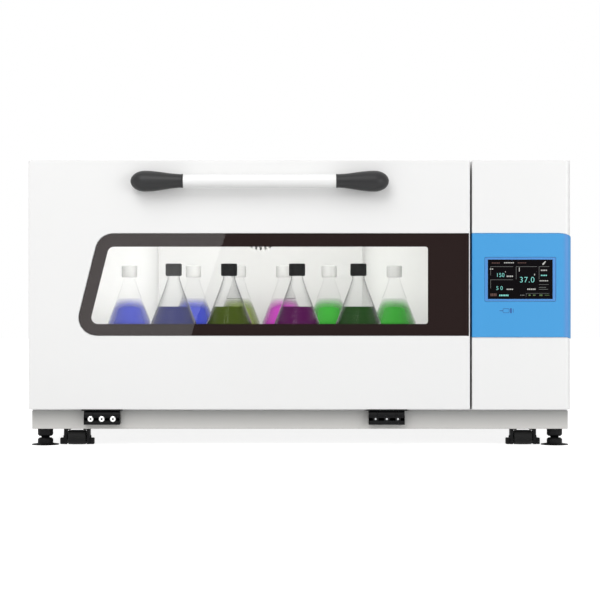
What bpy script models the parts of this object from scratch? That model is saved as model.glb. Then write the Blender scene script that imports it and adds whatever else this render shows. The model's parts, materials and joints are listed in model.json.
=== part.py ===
"""Shaking incubator: a heated cabinet with a glazed drop-down door over an orbital platform.

Metres, +Z up, front towards -Y. The origin lies on the floor under the middle of the
machine's box. Each size is a driving dimension below, or follows from one.
"""
import math

import bmesh
import bpy
from mathutils import Matrix, Vector

PART = "shaking_incubator"

# Overall size
WIDTH = 1.330
DEPTH = 0.820
HEIGHT = 0.700

# Fits
SEAT = 0.0003            # left between faces that touch
RUNNING = 0.0003         # radial play of a shaft in its bore
TRIM_GAP = 0.0005        # joint line round glass and bezels

# Sheets
SHEET = 0.0015
FRAME_SHEET = 0.003
LINER_SHEET = 0.002

# Plinth and base frame
PLINTH_BOTTOM = 0.0400
PLINTH_HEIGHT = 0.0454
PLINTH_INSET = 0.0045    # from the cabinet's sides
PLINTH_RECESS = 0.028    # from the door's face
NUT_BLOCK = 0.040
NUT_BLOCK_HEIGHT = 0.026

# Levelling feet
FOOT_FROM_SIDE = 0.035   # from the cabinet's side to a foot's middle
FOOT_FRONT = 0.048       # from the door's face to the front feet
FOOT_REAR = 0.040        # from the rear panel to the rear feet
FOOT_DISC_RADIUS = 0.034
FOOT_DISC = 0.0037
FOOT_DISC_EDGE = 0.0015
FOOT_COLLAR_RADIUS = 0.019
FOOT_LOWER_COLLAR = 0.0134
FOOT_NECK_RADIUS = 0.0105
FOOT_NECK = 0.0047
FOOT_CHAMFER = 0.0034
FOOT_STEM_RADIUS = 0.0060
FOOT_STEM_ENGAGED = 0.024

# Casters
CASTER_FROM_FOOT = 0.0790
WHEEL_RADIUS = 0.0180
WHEEL_WIDTH = 0.044
WHEEL_CROWN = 0.0022      # the tread's fall towards its sides
WHEEL_FLAT = 0.020        # width of the tread's middle
WHEEL_LIFT = 0.0004      # the feet carry the weight
AXLE_RADIUS = 0.0050
AXLE_BOSS_RADIUS = 0.0080
AXLE_LENGTH = 0.086
FORK_SHEET = 0.0065
FORK_GAP = 0.0030        # between wheel and fork cheek
FORK_HALF_DEPTH = 0.019

# Door
DOOR_GAP = 0.0055        # between door and column
COLUMN_WIDTH = 0.241
DOOR_SILL = 0.004        # between plinth and door
DOOR_THICKNESS = 0.050
DOOR_EDGE = 0.0020
GASKET_THICKNESS = 0.0082
GASKET_WIDTH = 0.016
GASKET_INSET = 0.014     # from the chamber mouth to the gasket
DOOR_LIP = 0.012

# Window, as seen from the front
GLASS_RIGHT = 0.0029     # from the door's right edge
GLASS_LEFT = 0.1093      # from the door's left edge to the glass's lower left corner
GLASS_BOTTOM = 0.1808    # above the door's bottom edge
GLASS_HEIGHT = 0.2508
GLASS_LEAN = math.radians(14.1)
GLASS_CORNER = 0.045
GLASS_SHEET = 0.004
GLASS_PROUD = 0.0010
BAND_LEFT = 0.0315
BAND_RIGHT = 0.100
BAND_TOP = 0.0327
BAND_BOTTOM = 0.0287
CLEAR_CORNER_LEFT = 0.016
CLEAR_CORNER_RIGHT = 0.0065
REVEAL_SET = 0.008       # the reveal stands back behind the dark border
REVEAL_WALL = 0.003
GLASS_SEAT_WIDTH = 0.018

# Door handle
HANDLE_PROJECTION = 0.055
HANDLE_LENGTH = 0.6294
HANDLE_CENTRE = 0.2522   # handle's middle, in from the door's left edge
HANDLE_BELOW_TOP = 0.0530
HANDLE_RADIUS = 0.0165
HANDLE_BORE = 0.0135
HANDLE_END_LENGTH = 0.1286
HANDLE_END_NOSE = 0.035
HANDLE_END_HALF_HEIGHT = 0.0255
HANDLE_END_TIP = 0.005   # half height of the nose's flat tip
HANDLE_END_FULLNESS = 0.75
HANDLE_SPIGOT = 0.020

# Door hinges
HINGE_BLOCK_LENGTH = 0.0884
HINGE_CENTRES = (0.1788, 0.8778)   # from the door's left edge
HINGE_DROP = 0.0135      # pin's axis below the door
HINGE_SETBACK = 0.012    # pin's axis behind the door's face
KNUCKLE_RADIUS = 0.0095
KNUCKLE_END = 0.021
KNUCKLE_PLAY = 0.0005
HINGE_PIN_RADIUS = 0.0040
LEAF_SHEET = 0.0025
LEAF_DEPTH = 0.043
LEAF_FRONT = 0.010       # leaf's front edge ahead of the pin's axis
LEAF_TONGUE = 0.006
LEAF_WING = 0.005        # beyond the block, on the side away from the other hinge
BLOCK_DROP = 0.0242      # block's foot below the pin's axis
BLOCK_FACE = 0.0065      # block's face ahead of the pin's axis

# Column
FASCIA_PROUD = 0.0020
COLUMN_CORNER = 0.012
FASCIA_BOTTOM = 0.2670
FASCIA_HEIGHT = 0.2540
COVER_GAP = 0.0005
BEZEL_LEFT = 0.030       # from the column's left edge
BEZEL_WIDTH = 0.175
BEZEL_BOTTOM = 0.087     # above the fascia's bottom edge
BEZEL_HEIGHT = 0.1088
BEZEL_CORNER = 0.003
BEZEL_SET = 0.0010       # behind the fascia's face
BEZEL_DEPTH = 0.018
DISPLAY_MARGIN_X = 0.0084
DISPLAY_MARGIN_Z = 0.0064
DISPLAY_SET = 0.0010

# Chamber
CHAMBER_LEFT = 0.065     # wall thicknesses, from the cabinet's outside to the chamber
CHAMBER_RIGHT = 0.042
CHAMBER_TOP = 0.060
CHAMBER_BOTTOM = 0.0496
CHAMBER_REAR = 0.068
FRAME_LIP = 0.010        # the front frame's lip round the chamber mouth
MOUTH_CORNER = 0.012
SERVICE_MARGIN = 0.022
MACHINE_SPACE = 0.048    # between the insulation and the rear panel
LID_SKIRT = 0.014
REAR_PROUD = 0.0020
JACKET_CLEAR = 0.005     # jacket's right face, in from the column

# Louvres
LOUVRE_HEIGHT = 0.005
LOUVRE_LENGTH = 0.110
LOUVRE_PITCH = 0.016
LOUVRE_ROWS = 7

# Mains inlet at the rear
INLET_WIDTH = 0.052
INLET_HEIGHT = 0.066
INLET_DEPTH = 0.034
INLET_FLANGE = 0.006
INLET_FROM_RIGHT = 0.110
INLET_ABOVE_PLINTH = 0.100
SOCKET_WIDTH = 0.026
SOCKET_HEIGHT = 0.018
SOCKET_DEPTH = 0.018
ROCKER_WELL_WIDTH = 0.026
ROCKER_WELL_HEIGHT = 0.022
ROCKER_WELL_DEPTH = 0.0224
ROCKER_RADIUS = 0.0100
ROCKER_AXIS_IN = 0.0105  # rocker's axis behind the flange face
ROCKER_ANGLE = math.radians(8)
ROCKER_FACE = 0.0075
ROCKER_HALF_HEIGHT = 0.0092
ROCKER_BELLY = 0.0075
ROCKER_PIN = 0.0015

# Controller board
BOARD_DEPTH = 0.220
BOARD_HEIGHT = 0.180
BOARD_SHEET = 0.0016
BOARD_STANDOFF = 0.012
BOARD_FROM_FRAME = 0.060
BOARD_ABOVE_FLOOR = 0.130
BOARD_GRID = 0.020        # the components' grid

# Air circulation, centred behind the platform
DUCT_WIDTH = 0.570
DUCT_DEPTH = 0.045
DUCT_FLOOR_GAP = 0.015
DUCT_CEILING_GAP = 0.008
DUCT_SLOT = 0.006
DUCT_SLOT_PITCH = 0.013
DUCT_INLET_RADIUS = 0.062
DUCT_OUTLETS = 16
DUCT_OUTLET_HEIGHT = 0.062
DUCT_OUTLET_PITCH = 0.0341
FAN_BELOW_CEILING = 0.080
FAN_RADIUS = 0.055
FAN_DEPTH = 0.026
FAN_HUB_RADIUS = 0.012
FAN_BLADE = 0.002
FAN_BLADES = 8
FAN_PLATE = 0.002
FAN_SHAFT_RADIUS = 0.004
FAN_SHAFT_PLAY = 0.002   # through the liner and the insulation
FAN_FROM_REAR_WALL = 0.010
FAN_MOTOR_RADIUS = 0.040
FAN_MOTOR_LENGTH = 0.036
FAN_MOTOR_GRIP = 0.022
HEATER_RING = 0.064
HEATER_RADIUS = 0.004
HEATER_FROM_REAR_WALL = 0.020
HEATER_BEND = 0.006
HEATER_OPENING = math.radians(12)

# Lamp under the chamber's ceiling
LAMP_RADIUS = 0.008
LAMP_LENGTH = 0.680
LAMP_BELOW_CEILING = 0.018
LAMP_FROM_MOUTH = 0.038
LAMP_HOLDER = 0.020

# Platform
PLATFORM_FROM_DUCT = 0.285    # platform's middle, ahead of the duct
TRAY_SIDE_ROOM = 0.060   # from the tray to the chamber's sides, on average
TRAY_DEPTH = 0.480
TRAY_SHEET = 0.0060
TRAY_SKIRT = 0.010
TRAY_CORNER = 0.012
MAT_SHEET = 0.0040
MAT_INSET = 0.004
CARRIER_WIDTH = 0.620
CARRIER_DEPTH = 0.320
CARRIER_PLATE = 0.0114
CARRIER_RIB = 0.008
CARRIER_RIB_HEIGHT = 0.024
CARRIER_HUB_RADIUS = 0.020
IDLER_HUB_RADIUS = 0.014

# Drive, stacked upwards from the chamber's floor
ORBIT_RADIUS = 0.0125
BASE_WIDTH = 0.620
BASE_DEPTH = 0.320
BASE_PLATE = 0.008
BOSS_RADIUS = 0.028
BOSS_HEIGHT = 0.0230
SPINDLE_RADIUS = 0.0125
CRANK_HUB_RADIUS = 0.026
CRANK_HUB_HEIGHT = 0.040
CRANK_ROOF = 0.009
CRANK_PIN_RADIUS = 0.010
CRANK_PIN_LENGTH = 0.0548
IDLER_X = 0.260
IDLER_Y = 0.120
IDLER_DISC_RADIUS = 0.026
IDLER_DISC_HEIGHT = 0.020
IDLER_PIN_RADIUS = 0.006
IDLER_POST_RADIUS = 0.018
IDLER_ROOF = 0.003
BELT_SPAN = 0.200        # motor's axis from the spindle's
CRANK_PULLEY_RADIUS = 0.0765
PULLEY_RATIO = 3
PULLEY_ABOVE_BOSS = 0.0055
PULLEY_RIM = 0.0065
PULLEY_WEB = 0.009
GROOVES = 3
GROOVE_PITCH = 0.0060
GROOVE_HALF_WIDTH = 0.0026
GROOVE_DEPTH = 0.0042
PULLEY_MARGIN = 0.0015   # plain rim beside the outer grooves
BELT_PLAY = 0.0004
BELT_TIP_PLAY = 0.0008
BELT_BACK = 0.0028
COUNTERWEIGHT_INNER = 0.034
COUNTERWEIGHT_OUTER = 0.064
COUNTERWEIGHT_ABOVE_RIM = 0.012
COUNTERWEIGHT_HALF_ANGLE = math.radians(70)
MOTOR_RADIUS = 0.055
MOTOR_HEIGHT = 0.0260
MOTOR_EDGE = 0.003
MOTOR_SHAFT_RADIUS = 0.006
MOTOR_SHAFT_GRIP = 0.018

# Flasks
FLASK_HEIGHT = 0.1666
FLASK_RADIUS = 0.0585
FLASK_FOOT_ROUND = 0.006
FLASK_WIDEST = 0.011
NECK_RADIUS = 0.0155
NECK_HEIGHT = 0.011
NECK_BLEND = 0.0037      # from the neck's foot up to its straight part
CAP_RADIUS = 0.02075
CAP_HEIGHT = 0.0316
CAP_EDGE = 0.002
FRONT_ROW_Y = -0.160     # from the platform's middle
BACK_ROW_Y = 0.120
FRONT_SHARES = (141, 25, 57, 40, 120)          # how a row's free length is shared out
BACK_SHARES = (2, 57, 5, 6, 6, 60, 14)

# Facets round a full turn
ROUND_LARGE = 32
ROUND = 24
ROUND_SMALL = 16
ARC_STEPS = 5

# Places that follow from the sizes
X_LEFT = -WIDTH / 2
X_FASCIA = WIDTH / 2
FOOT_X = X_FASCIA - FOOT_FROM_SIDE
CASTER_X = FOOT_X - CASTER_FROM_FOOT
X_RIGHT = X_FASCIA - FASCIA_PROUD
COLUMN_LEFT = X_RIGHT - COLUMN_WIDTH
DOOR_RIGHT = COLUMN_LEFT - DOOR_GAP
DOOR_FACE = -DEPTH / 2 + HANDLE_PROJECTION
DOOR_BACK = DOOR_FACE + DOOR_THICKNESS
FRAME_FACE = DOOR_BACK + GASKET_THICKNESS + 2 * SEAT
FRAME_BACK = FRAME_FACE + FRAME_SHEET
CABINET_REAR = DEPTH / 2 - REAR_PROUD
PLINTH_TOP = PLINTH_BOTTOM + PLINTH_HEIGHT
CABINET_BOTTOM = PLINTH_TOP + SEAT
DOOR_BOTTOM = PLINTH_TOP + DOOR_SILL
SKIRT_BOTTOM = HEIGHT - LID_SKIRT
CHAMBER_X = (X_LEFT + CHAMBER_LEFT, COLUMN_LEFT - CHAMBER_RIGHT)
CHAMBER_Z = (PLINTH_TOP + CHAMBER_BOTTOM, HEIGHT - CHAMBER_TOP)
TRAY_WIDTH = CHAMBER_X[1] - CHAMBER_X[0] - 2 * TRAY_SIDE_ROOM
LINER_FRONT = FRAME_BACK + SEAT
LINER_REAR = CABINET_REAR - CHAMBER_REAR
JACKET_REAR = CABINET_REAR - MACHINE_SPACE
DUCT_FRONT = LINER_REAR - DUCT_DEPTH
MIDDLE_X = (CHAMBER_X[0] + CHAMBER_X[1]) / 2
MIDDLE_Y = DUCT_FRONT - PLATFORM_FROM_DUCT
HINGE_Y = DOOR_FACE + HINGE_SETBACK
HINGE_Z = DOOR_BOTTOM - HINGE_DROP

BASE_TOP = CHAMBER_Z[0] + SEAT + BASE_PLATE
BOSS_TOP = BASE_TOP + BOSS_HEIGHT
RIM_HEIGHT = GROOVES * GROOVE_PITCH + 2 * PULLEY_MARGIN
RIM_BOTTOM = BOSS_TOP + PULLEY_ABOVE_BOSS
RIM_TOP = RIM_BOTTOM + RIM_HEIGHT
CRANK_TOP = BOSS_TOP + SEAT + CRANK_HUB_HEIGHT
CRANK_PIN_TOP = CRANK_TOP + CRANK_PIN_LENGTH
CARRIER_TOP = CRANK_PIN_TOP + CARRIER_PLATE + 2 * SEAT
TRAY_BOTTOM = CARRIER_TOP + SEAT
TRAY_TOP = TRAY_BOTTOM + TRAY_SHEET
MAT_TOP = TRAY_TOP + SEAT + MAT_SHEET
FLASK_FOOT = MAT_TOP + SEAT
MOTOR_X = MIDDLE_X + BELT_SPAN
FAN_Z = CHAMBER_Z[1] - FAN_BELOW_CEILING
WHEEL_Z = WHEEL_RADIUS + WHEEL_LIFT

# Colour, roughness and metallic value of each finish
LOOKS = {
    "white_enamel": ((0.90, 0.90, 0.89), 0.35, 0.0),
    "grey_enamel": ((0.58, 0.57, 0.55), 0.40, 0.0),
    "blue_plastic": ((0.078, 0.365, 0.740), 0.35, 0.0),
    "black_plastic": ((0.035, 0.035, 0.037), 0.45, 0.0),
    "black_enamel": ((0.020, 0.020, 0.020), 0.50, 0.0),
    "white_bar": ((0.88, 0.88, 0.88), 0.22, 0.0),
    "stainless": ((0.72, 0.72, 0.71), 0.30, 1.0),
    "aluminium": ((0.75, 0.76, 0.77), 0.40, 1.0),
    "cast_iron": ((0.12, 0.12, 0.12), 0.60, 0.6),
    "rubber": ((0.030, 0.030, 0.030), 0.80, 0.0),
    "clear_glass": ((0.80, 0.84, 0.84), 0.05, 0.0),
    "foam": ((0.80, 0.76, 0.60), 0.90, 0.0),
    "screen": ((0.012, 0.020, 0.028), 0.15, 0.0),
    "board": ((0.020, 0.160, 0.060), 0.50, 0.0),
    "lamp": ((0.92, 0.92, 0.88), 0.30, 0.0),
    "mat_grey": ((0.16, 0.17, 0.18), 0.75, 0.0),
    "blue_culture": ((0.060, 0.070, 0.300), 0.20, 0.0),
    "olive_culture": ((0.060, 0.110, 0.015), 0.20, 0.0),
    "purple_culture": ((0.080, 0.010, 0.080), 0.20, 0.0),
    "green_culture": ((0.020, 0.100, 0.020), 0.20, 0.0),
    "magenta_culture": ((0.250, 0.020, 0.150), 0.20, 0.0),
}
FRONT_CULTURES = ("blue_culture", "olive_culture", "purple_culture", "green_culture")
BACK_CULTURES = ("blue_culture", "blue_culture", "olive_culture", "magenta_culture",
                 "green_culture", "green_culture")

# How a drawing plane's u, v and thickness lie in space
PLANES = {
    "XY": Matrix.Identity(4),
    "XZ": Matrix.Rotation(math.radians(90), 4, "X"),
    "YZ": Matrix(((0, 0, 1, 0), (1, 0, 0, 0), (0, 1, 0, 0), (0, 0, 0, 1))),
}
ACROSS = {"XY": Vector((0, 0, 1)), "XZ": Vector((0, 1, 0)), "YZ": Vector((1, 0, 0))}
SPINS = {"X": (0, math.radians(90), 0), "Y": (math.radians(-90), 0, 0), "Z": (0, 0, 0)}


# Scene

def clear_scene():
    """Remove every object that the file starts with."""
    for obj in list(bpy.data.objects):
        bpy.data.objects.remove(obj, do_unlink=True)


def new_collection(name):
    """Make a collection under the scene's own."""
    group = bpy.data.collections.new(name)
    bpy.context.scene.collection.children.link(group)
    return group


clear_scene()
PARTS = new_collection(PART)
CUTTERS = new_collection(PART + "_cutters")


def stock(name, data, place=(0, 0, 0)):
    """Link a mesh or a curve as hidden stock beside the cutters."""
    obj = bpy.data.objects.new(name, data)
    obj.location = place
    obj.hide_render = True
    obj.display_type = "WIRE"
    CUTTERS.objects.link(obj)
    return obj


def pivot(name, place):
    """Put an empty on a joint's axis, for the pieces that turn or slide with it."""
    empty = bpy.data.objects.new(name, None)
    empty.location = place
    empty.empty_display_size = 0.03
    PARTS.objects.link(empty)
    return empty


def node(name, shape, look, carrier=None):
    """Turn stock into a finished sub-part with its own material."""
    CUTTERS.objects.unlink(shape)
    PARTS.objects.link(shape)
    shape.name = name
    shape.data.name = name
    shape.hide_render = False
    shape.display_type = "TEXTURED"
    colour, roughness, metallic = LOOKS[look]
    paint = bpy.data.materials.new(f"{name}_{look}")
    paint.use_nodes = True
    shader = paint.node_tree.nodes["Principled BSDF"]
    shader.inputs["Base Color"].default_value = (*colour, 1)
    shader.inputs["Roughness"].default_value = roughness
    shader.inputs["Metallic"].default_value = metallic
    paint.diffuse_color = (*colour, 1)
    shape.data.materials.clear()
    shape.data.materials.append(paint)
    if carrier is not None:
        shape.parent = carrier
        shape.matrix_parent_inverse = Matrix.Translation(carrier.location).inverted()
    return shape


# Shapes

def block(name, x, y, z, edge=0.0, segments=2):
    """A box between three (low, high) pairs, with all its edges rounded by edge."""
    low, high = Vector((x[0], y[0], z[0])), Vector((x[1], y[1], z[1]))
    mesh = bpy.data.meshes.new(name)
    bm = bmesh.new()
    bmesh.ops.create_cube(bm, size=1)
    bmesh.ops.scale(bm, vec=high - low, verts=bm.verts)
    bm.to_mesh(mesh)
    bm.free()
    obj = stock(name, mesh, (low + high) / 2)
    if edge > 0:
        bevel = obj.modifiers.new("edges", "BEVEL")
        bevel.width = edge
        bevel.segments = segments
    return obj


def rod(name, radius, axis, start, end, sides=ROUND):
    """A cylinder along an axis, from one point's level to another's."""
    start, end = Vector(start), Vector(end)
    mesh = bpy.data.meshes.new(name)
    bm = bmesh.new()
    bmesh.ops.create_cone(bm, cap_ends=True, segments=sides, radius1=radius, radius2=radius,
                          depth=(end - start).length)
    bm.to_mesh(mesh)
    bm.free()
    mesh.shade_smooth()
    mesh.set_sharp_from_angle(angle=math.radians(40))
    obj = stock(name, mesh, (start + end) / 2)
    obj.rotation_euler = SPINS[axis]
    return obj


def turned(name, profile, place, axis="Z", steps=ROUND):
    """Spin a (radius, height) profile that runs down its outer side about an axis."""
    closed = profile[0][0] > 0
    verts = [(radius, 0, height) for radius, height in profile]
    edges = [(i, i + 1) for i in range(len(verts) - 1)]
    if closed:
        edges.append((len(verts) - 1, 0))
    mesh = bpy.data.meshes.new(name)
    mesh.from_pydata(verts, edges, [])
    obj = stock(name, mesh, place)
    obj.rotation_euler = SPINS[axis]
    screw = obj.modifiers.new("turn", "SCREW")
    screw.axis = "Z"
    screw.steps = steps
    screw.render_steps = steps
    screw.use_merge_vertices = True
    screw.merge_threshold = 0.00001
    return obj


def frozen(obj):
    """The mesh that an object's curve or modifiers make, with its seams welded."""
    depsgraph = bpy.context.evaluated_depsgraph_get()
    mesh = bpy.data.meshes.new_from_object(obj.evaluated_get(depsgraph))
    bm = bmesh.new()
    bm.from_mesh(mesh)
    bmesh.ops.remove_doubles(bm, verts=bm.verts, dist=0.00001)
    bm.to_mesh(mesh)
    bm.free()
    return mesh


def plate(name, outlines, plane, levels):
    """Fill flat outlines, the first with the others as its holes, between two levels."""
    low, high = levels
    curve = bpy.data.curves.new(name, "CURVE")
    curve.dimensions = "2D"
    curve.fill_mode = "BOTH"
    curve.extrude = (high - low) / 2
    for outline in outlines:
        spline = curve.splines.new("POLY")
        spline.points.add(len(outline) - 1)
        for point, (u, v) in zip(spline.points, outline):
            point.co = (u, v, 0, 1)
        spline.use_cyclic_u = True
    flat = stock(name, curve)
    mesh = frozen(flat)
    bpy.data.objects.remove(flat, do_unlink=True)
    mesh.transform(PLANES[plane])
    return stock(name, mesh, ACROSS[plane] * (low + high) / 2)


def tube(name, points, radius, resolution=2):
    """A bent round bar through a list of points."""
    curve = bpy.data.curves.new(name, "CURVE")
    curve.dimensions = "3D"
    curve.bevel_depth = radius
    curve.bevel_resolution = resolution
    curve.use_fill_caps = True
    spline = curve.splines.new("POLY")
    spline.points.add(len(points) - 1)
    for point, co in zip(spline.points, points):
        point.co = (*co, 1)
    bent = stock(name, curve)
    mesh = frozen(bent)
    bpy.data.objects.remove(bent, do_unlink=True)
    return stock(name, mesh)


def loft(name, stations, sides=ROUND):
    """Skin ellipses that stand across X, each with its (x, y, z) middle, half depth and half height."""
    bm = bmesh.new()
    rings = []
    for middle, deep, tall in stations:
        place = (Matrix.Translation(middle) @ Matrix.Rotation(math.radians(90), 4, "Y")
                 @ Matrix.Diagonal((tall, deep, 1, 1)))
        ring = bmesh.ops.create_circle(bm, segments=sides, radius=1, matrix=place)["verts"]
        rings.append(list({edge for vert in ring for edge in vert.link_edges}))
    for ring, following in zip(rings, rings[1:]):
        bmesh.ops.bridge_loops(bm, edges=ring + following)
    for end in (rings[0], rings[-1]):
        bmesh.ops.contextual_create(bm, geom=end)
    bmesh.ops.recalc_face_normals(bm, faces=bm.faces)
    mesh = bpy.data.meshes.new(name)
    bm.to_mesh(mesh)
    bm.free()
    return stock(name, mesh)


def combine(name, shapes):
    """Gather shapes that stay clear of each other into one cutter or one addition."""
    bm = bmesh.new()
    for shape in shapes:
        mesh = frozen(shape)
        turn = shape.rotation_euler.to_matrix().to_4x4()
        mesh.transform(Matrix.Translation(shape.location) @ turn)
        bm.from_mesh(mesh)
        bpy.data.objects.remove(shape, do_unlink=True)
    mesh = bpy.data.meshes.new(name)
    bm.to_mesh(mesh)
    bm.free()
    return stock(name, mesh)


def boolean(target, tool, operation):
    """Cut a tool from a shape, or join it on, with the exact solver."""
    step = target.modifiers.new(tool.name, "BOOLEAN")
    step.object = tool
    step.operation = operation
    step.solver = "EXACT"
    return target


def cut(target, *tools):
    """Cut each tool from the shape."""
    for tool in tools:
        boolean(target, tool, "DIFFERENCE")
    return target


def join(target, *tools):
    """Join each tool to the shape, so that they are one body."""
    for tool in tools:
        boolean(target, tool, "UNION")
    return target


# Outlines

def rectangle(u, v, inset=0.0):
    """A rectangle's corners, anticlockwise from the lower left."""
    return [(u[0] + inset, v[0] + inset), (u[1] - inset, v[0] + inset),
            (u[1] - inset, v[1] - inset), (u[0] + inset, v[1] - inset)]


def rounded(corners, radii, steps=ARC_STEPS):
    """Turn each corner of a polygon into an arc of its radius."""
    outline = []
    for i, corner in enumerate(corners):
        here = Vector(corner)
        if radii[i] <= 0:
            outline.append(tuple(here))
            continue
        back = (Vector(corners[i - 1]) - here).normalized()
        ahead = (Vector(corners[(i + 1) % len(corners)]) - here).normalized()
        half = back.angle(ahead) / 2
        centre = here + (back + ahead).normalized() * radii[i] / math.sin(half)
        start = here + back * radii[i] / math.tan(half) - centre
        end = here + ahead * radii[i] / math.tan(half) - centre
        first = math.atan2(start.y, start.x)
        sweep = math.remainder(math.atan2(end.y, end.x) - first, math.tau)
        for step in range(steps + 1):
            angle = first + sweep * step / steps
            outline.append((centre.x + radii[i] * math.cos(angle),
                            centre.y + radii[i] * math.sin(angle)))
    return outline


def soft_rectangle(u, v, radius, inset=0.0):
    """A rectangle with four equal round corners."""
    return rounded(rectangle(u, v, inset), [radius] * 4)


def leaning_outline(left, right, bottom, top, radii):
    """A window outline whose left edge leans; left is its x at the bottom level."""
    run = (top - bottom) * math.tan(GLASS_LEAN)
    corners = [(left, bottom), (right, bottom), (right, top), (left + run, top)]
    return rounded(corners, radii)


def glass_outline(grow=0.0):
    """The outer glass, grown on every side by the given amount."""
    bottom = DOOR_BOTTOM + GLASS_BOTTOM
    lean = grow / math.cos(GLASS_LEAN) + grow * math.tan(GLASS_LEAN)
    return leaning_outline(X_LEFT + GLASS_LEFT - lean, DOOR_RIGHT - GLASS_RIGHT + grow,
                           bottom - grow, bottom + GLASS_HEIGHT + grow,
                           (GLASS_CORNER, 0, 0, GLASS_CORNER))


def clear_outline(grow=0.0):
    """The see-through field inside the dark border, grown on every side."""
    low = DOOR_BOTTOM + GLASS_BOTTOM
    bottom = low + BAND_BOTTOM - grow
    top = low + GLASS_HEIGHT - BAND_TOP + grow
    left = (X_LEFT + GLASS_LEFT + (bottom - low) * math.tan(GLASS_LEAN)
            + (BAND_LEFT - grow) / math.cos(GLASS_LEAN))
    right = DOOR_RIGHT - GLASS_RIGHT - BAND_RIGHT + grow
    wide, tight = CLEAR_CORNER_LEFT + grow, CLEAR_CORNER_RIGHT + grow
    return leaning_outline(left, right, bottom, top, (wide, tight, tight, wide))


def louvre_cutter(name, plane, along, first, levels, columns=1, column_pitch=0.0):
    """Rows of slots: their middle along the panel, the lowest row, and the panel's levels."""
    slots = []
    for column in range(columns):
        middle = along + (column - (columns - 1) / 2) * column_pitch
        for row in range(LOUVRE_ROWS):
            low = first + row * LOUVRE_PITCH
            slots.append(plate(name, [rectangle(
                (middle - LOUVRE_LENGTH / 2, middle + LOUVRE_LENGTH / 2),
                (low, low + LOUVRE_HEIGHT))], plane, levels))
    return combine(name, slots)


# Standing part

def corners():
    """The signs and depths of the four lower corners, with their names."""
    front = DOOR_FACE + FOOT_FRONT
    rear = CABINET_REAR - FOOT_REAR
    return (("front_left", -1, front), ("front_right", 1, front),
            ("rear_left", -1, rear), ("rear_right", 1, rear))


def base_frame():
    """The plinth pan with corner plates, nut blocks and caster forks welded in."""
    x = (X_LEFT + PLINTH_INSET, -X_LEFT - PLINTH_INSET)
    y = (DOOR_FACE + PLINTH_RECESS, CABINET_REAR - PLINTH_INSET)
    pan = block("base_frame", x, y, (PLINTH_BOTTOM, PLINTH_TOP))
    inside = block("pan_inside", (x[0] + FRAME_SHEET, x[1] - FRAME_SHEET),
                   (y[0] + FRAME_SHEET, y[1] - FRAME_SHEET),
                   (PLINTH_BOTTOM - FRAME_SHEET, PLINTH_TOP - FRAME_SHEET))
    cut(pan, inside)
    plates, nuts, cheeks, axles, bores = [], [], [], [], []
    cheek = WHEEL_WIDTH / 2 + FORK_GAP
    reach = CASTER_X - cheek - 2 * FORK_SHEET
    half_nut = NUT_BLOCK / 2
    for name, side, depth in corners():
        span = sorted((side * reach, side * (x[1] - FRAME_SHEET / 2)))
        edge = y[0] + FRAME_SHEET / 2 if depth < 0 else y[1] - FRAME_SHEET / 2
        inner = depth + math.copysign(NUT_BLOCK, -depth)
        plates.append(block("corner_plate", span, sorted((edge, inner)),
                            (PLINTH_BOTTOM + SEAT, PLINTH_BOTTOM + SEAT + FRAME_SHEET)))
        foot = side * FOOT_X
        nuts.append(block("nut_block", (foot - half_nut, foot + half_nut),
                          (depth - half_nut, depth + half_nut),
                          (PLINTH_BOTTOM + FRAME_SHEET / 2,
                           PLINTH_BOTTOM + NUT_BLOCK_HEIGHT)))
        bores.append(rod("foot_bore", FOOT_STEM_RADIUS + RUNNING, "Z",
                         (foot, depth, PLINTH_BOTTOM - FRAME_SHEET),
                         (foot, depth, PLINTH_TOP - FRAME_SHEET - SEAT), ROUND_SMALL))
        wheel = side * CASTER_X
        axles.append(rod("axle", AXLE_RADIUS, "X", (wheel - AXLE_LENGTH / 2, depth, WHEEL_Z),
                         (wheel + AXLE_LENGTH / 2, depth, WHEEL_Z), ROUND_SMALL))
        for face in (-1, 1):
            near = wheel + face * cheek
            far = near + face * FORK_SHEET
            end = wheel + face * (AXLE_LENGTH / 2 + SEAT)
            outline = rounded(
                [(depth - FORK_HALF_DEPTH, PLINTH_BOTTOM + FRAME_SHEET),
                 (depth - AXLE_BOSS_RADIUS, WHEEL_Z - AXLE_BOSS_RADIUS),
                 (depth + AXLE_BOSS_RADIUS, WHEEL_Z - AXLE_BOSS_RADIUS),
                 (depth + FORK_HALF_DEPTH, PLINTH_BOTTOM + FRAME_SHEET)],
                (0, AXLE_BOSS_RADIUS / 2, AXLE_BOSS_RADIUS / 2, 0), 3)
            fork = plate("fork_cheek", [outline], "YZ", sorted((near, far)))
            boss = rod("axle_boss", AXLE_BOSS_RADIUS, "X", (near + face * SEAT, depth, WHEEL_Z),
                       (end, depth, WHEEL_Z), 6)
            cheeks.append(fork)
            nuts.append(boss)
    join(pan, combine("corner_plates", plates), combine("fork_cheeks", cheeks),
         combine("nut_blocks", nuts), combine("axles", axles))
    cut(pan, combine("foot_bores", bores))
    node("base_frame", pan, "grey_enamel")


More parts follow.
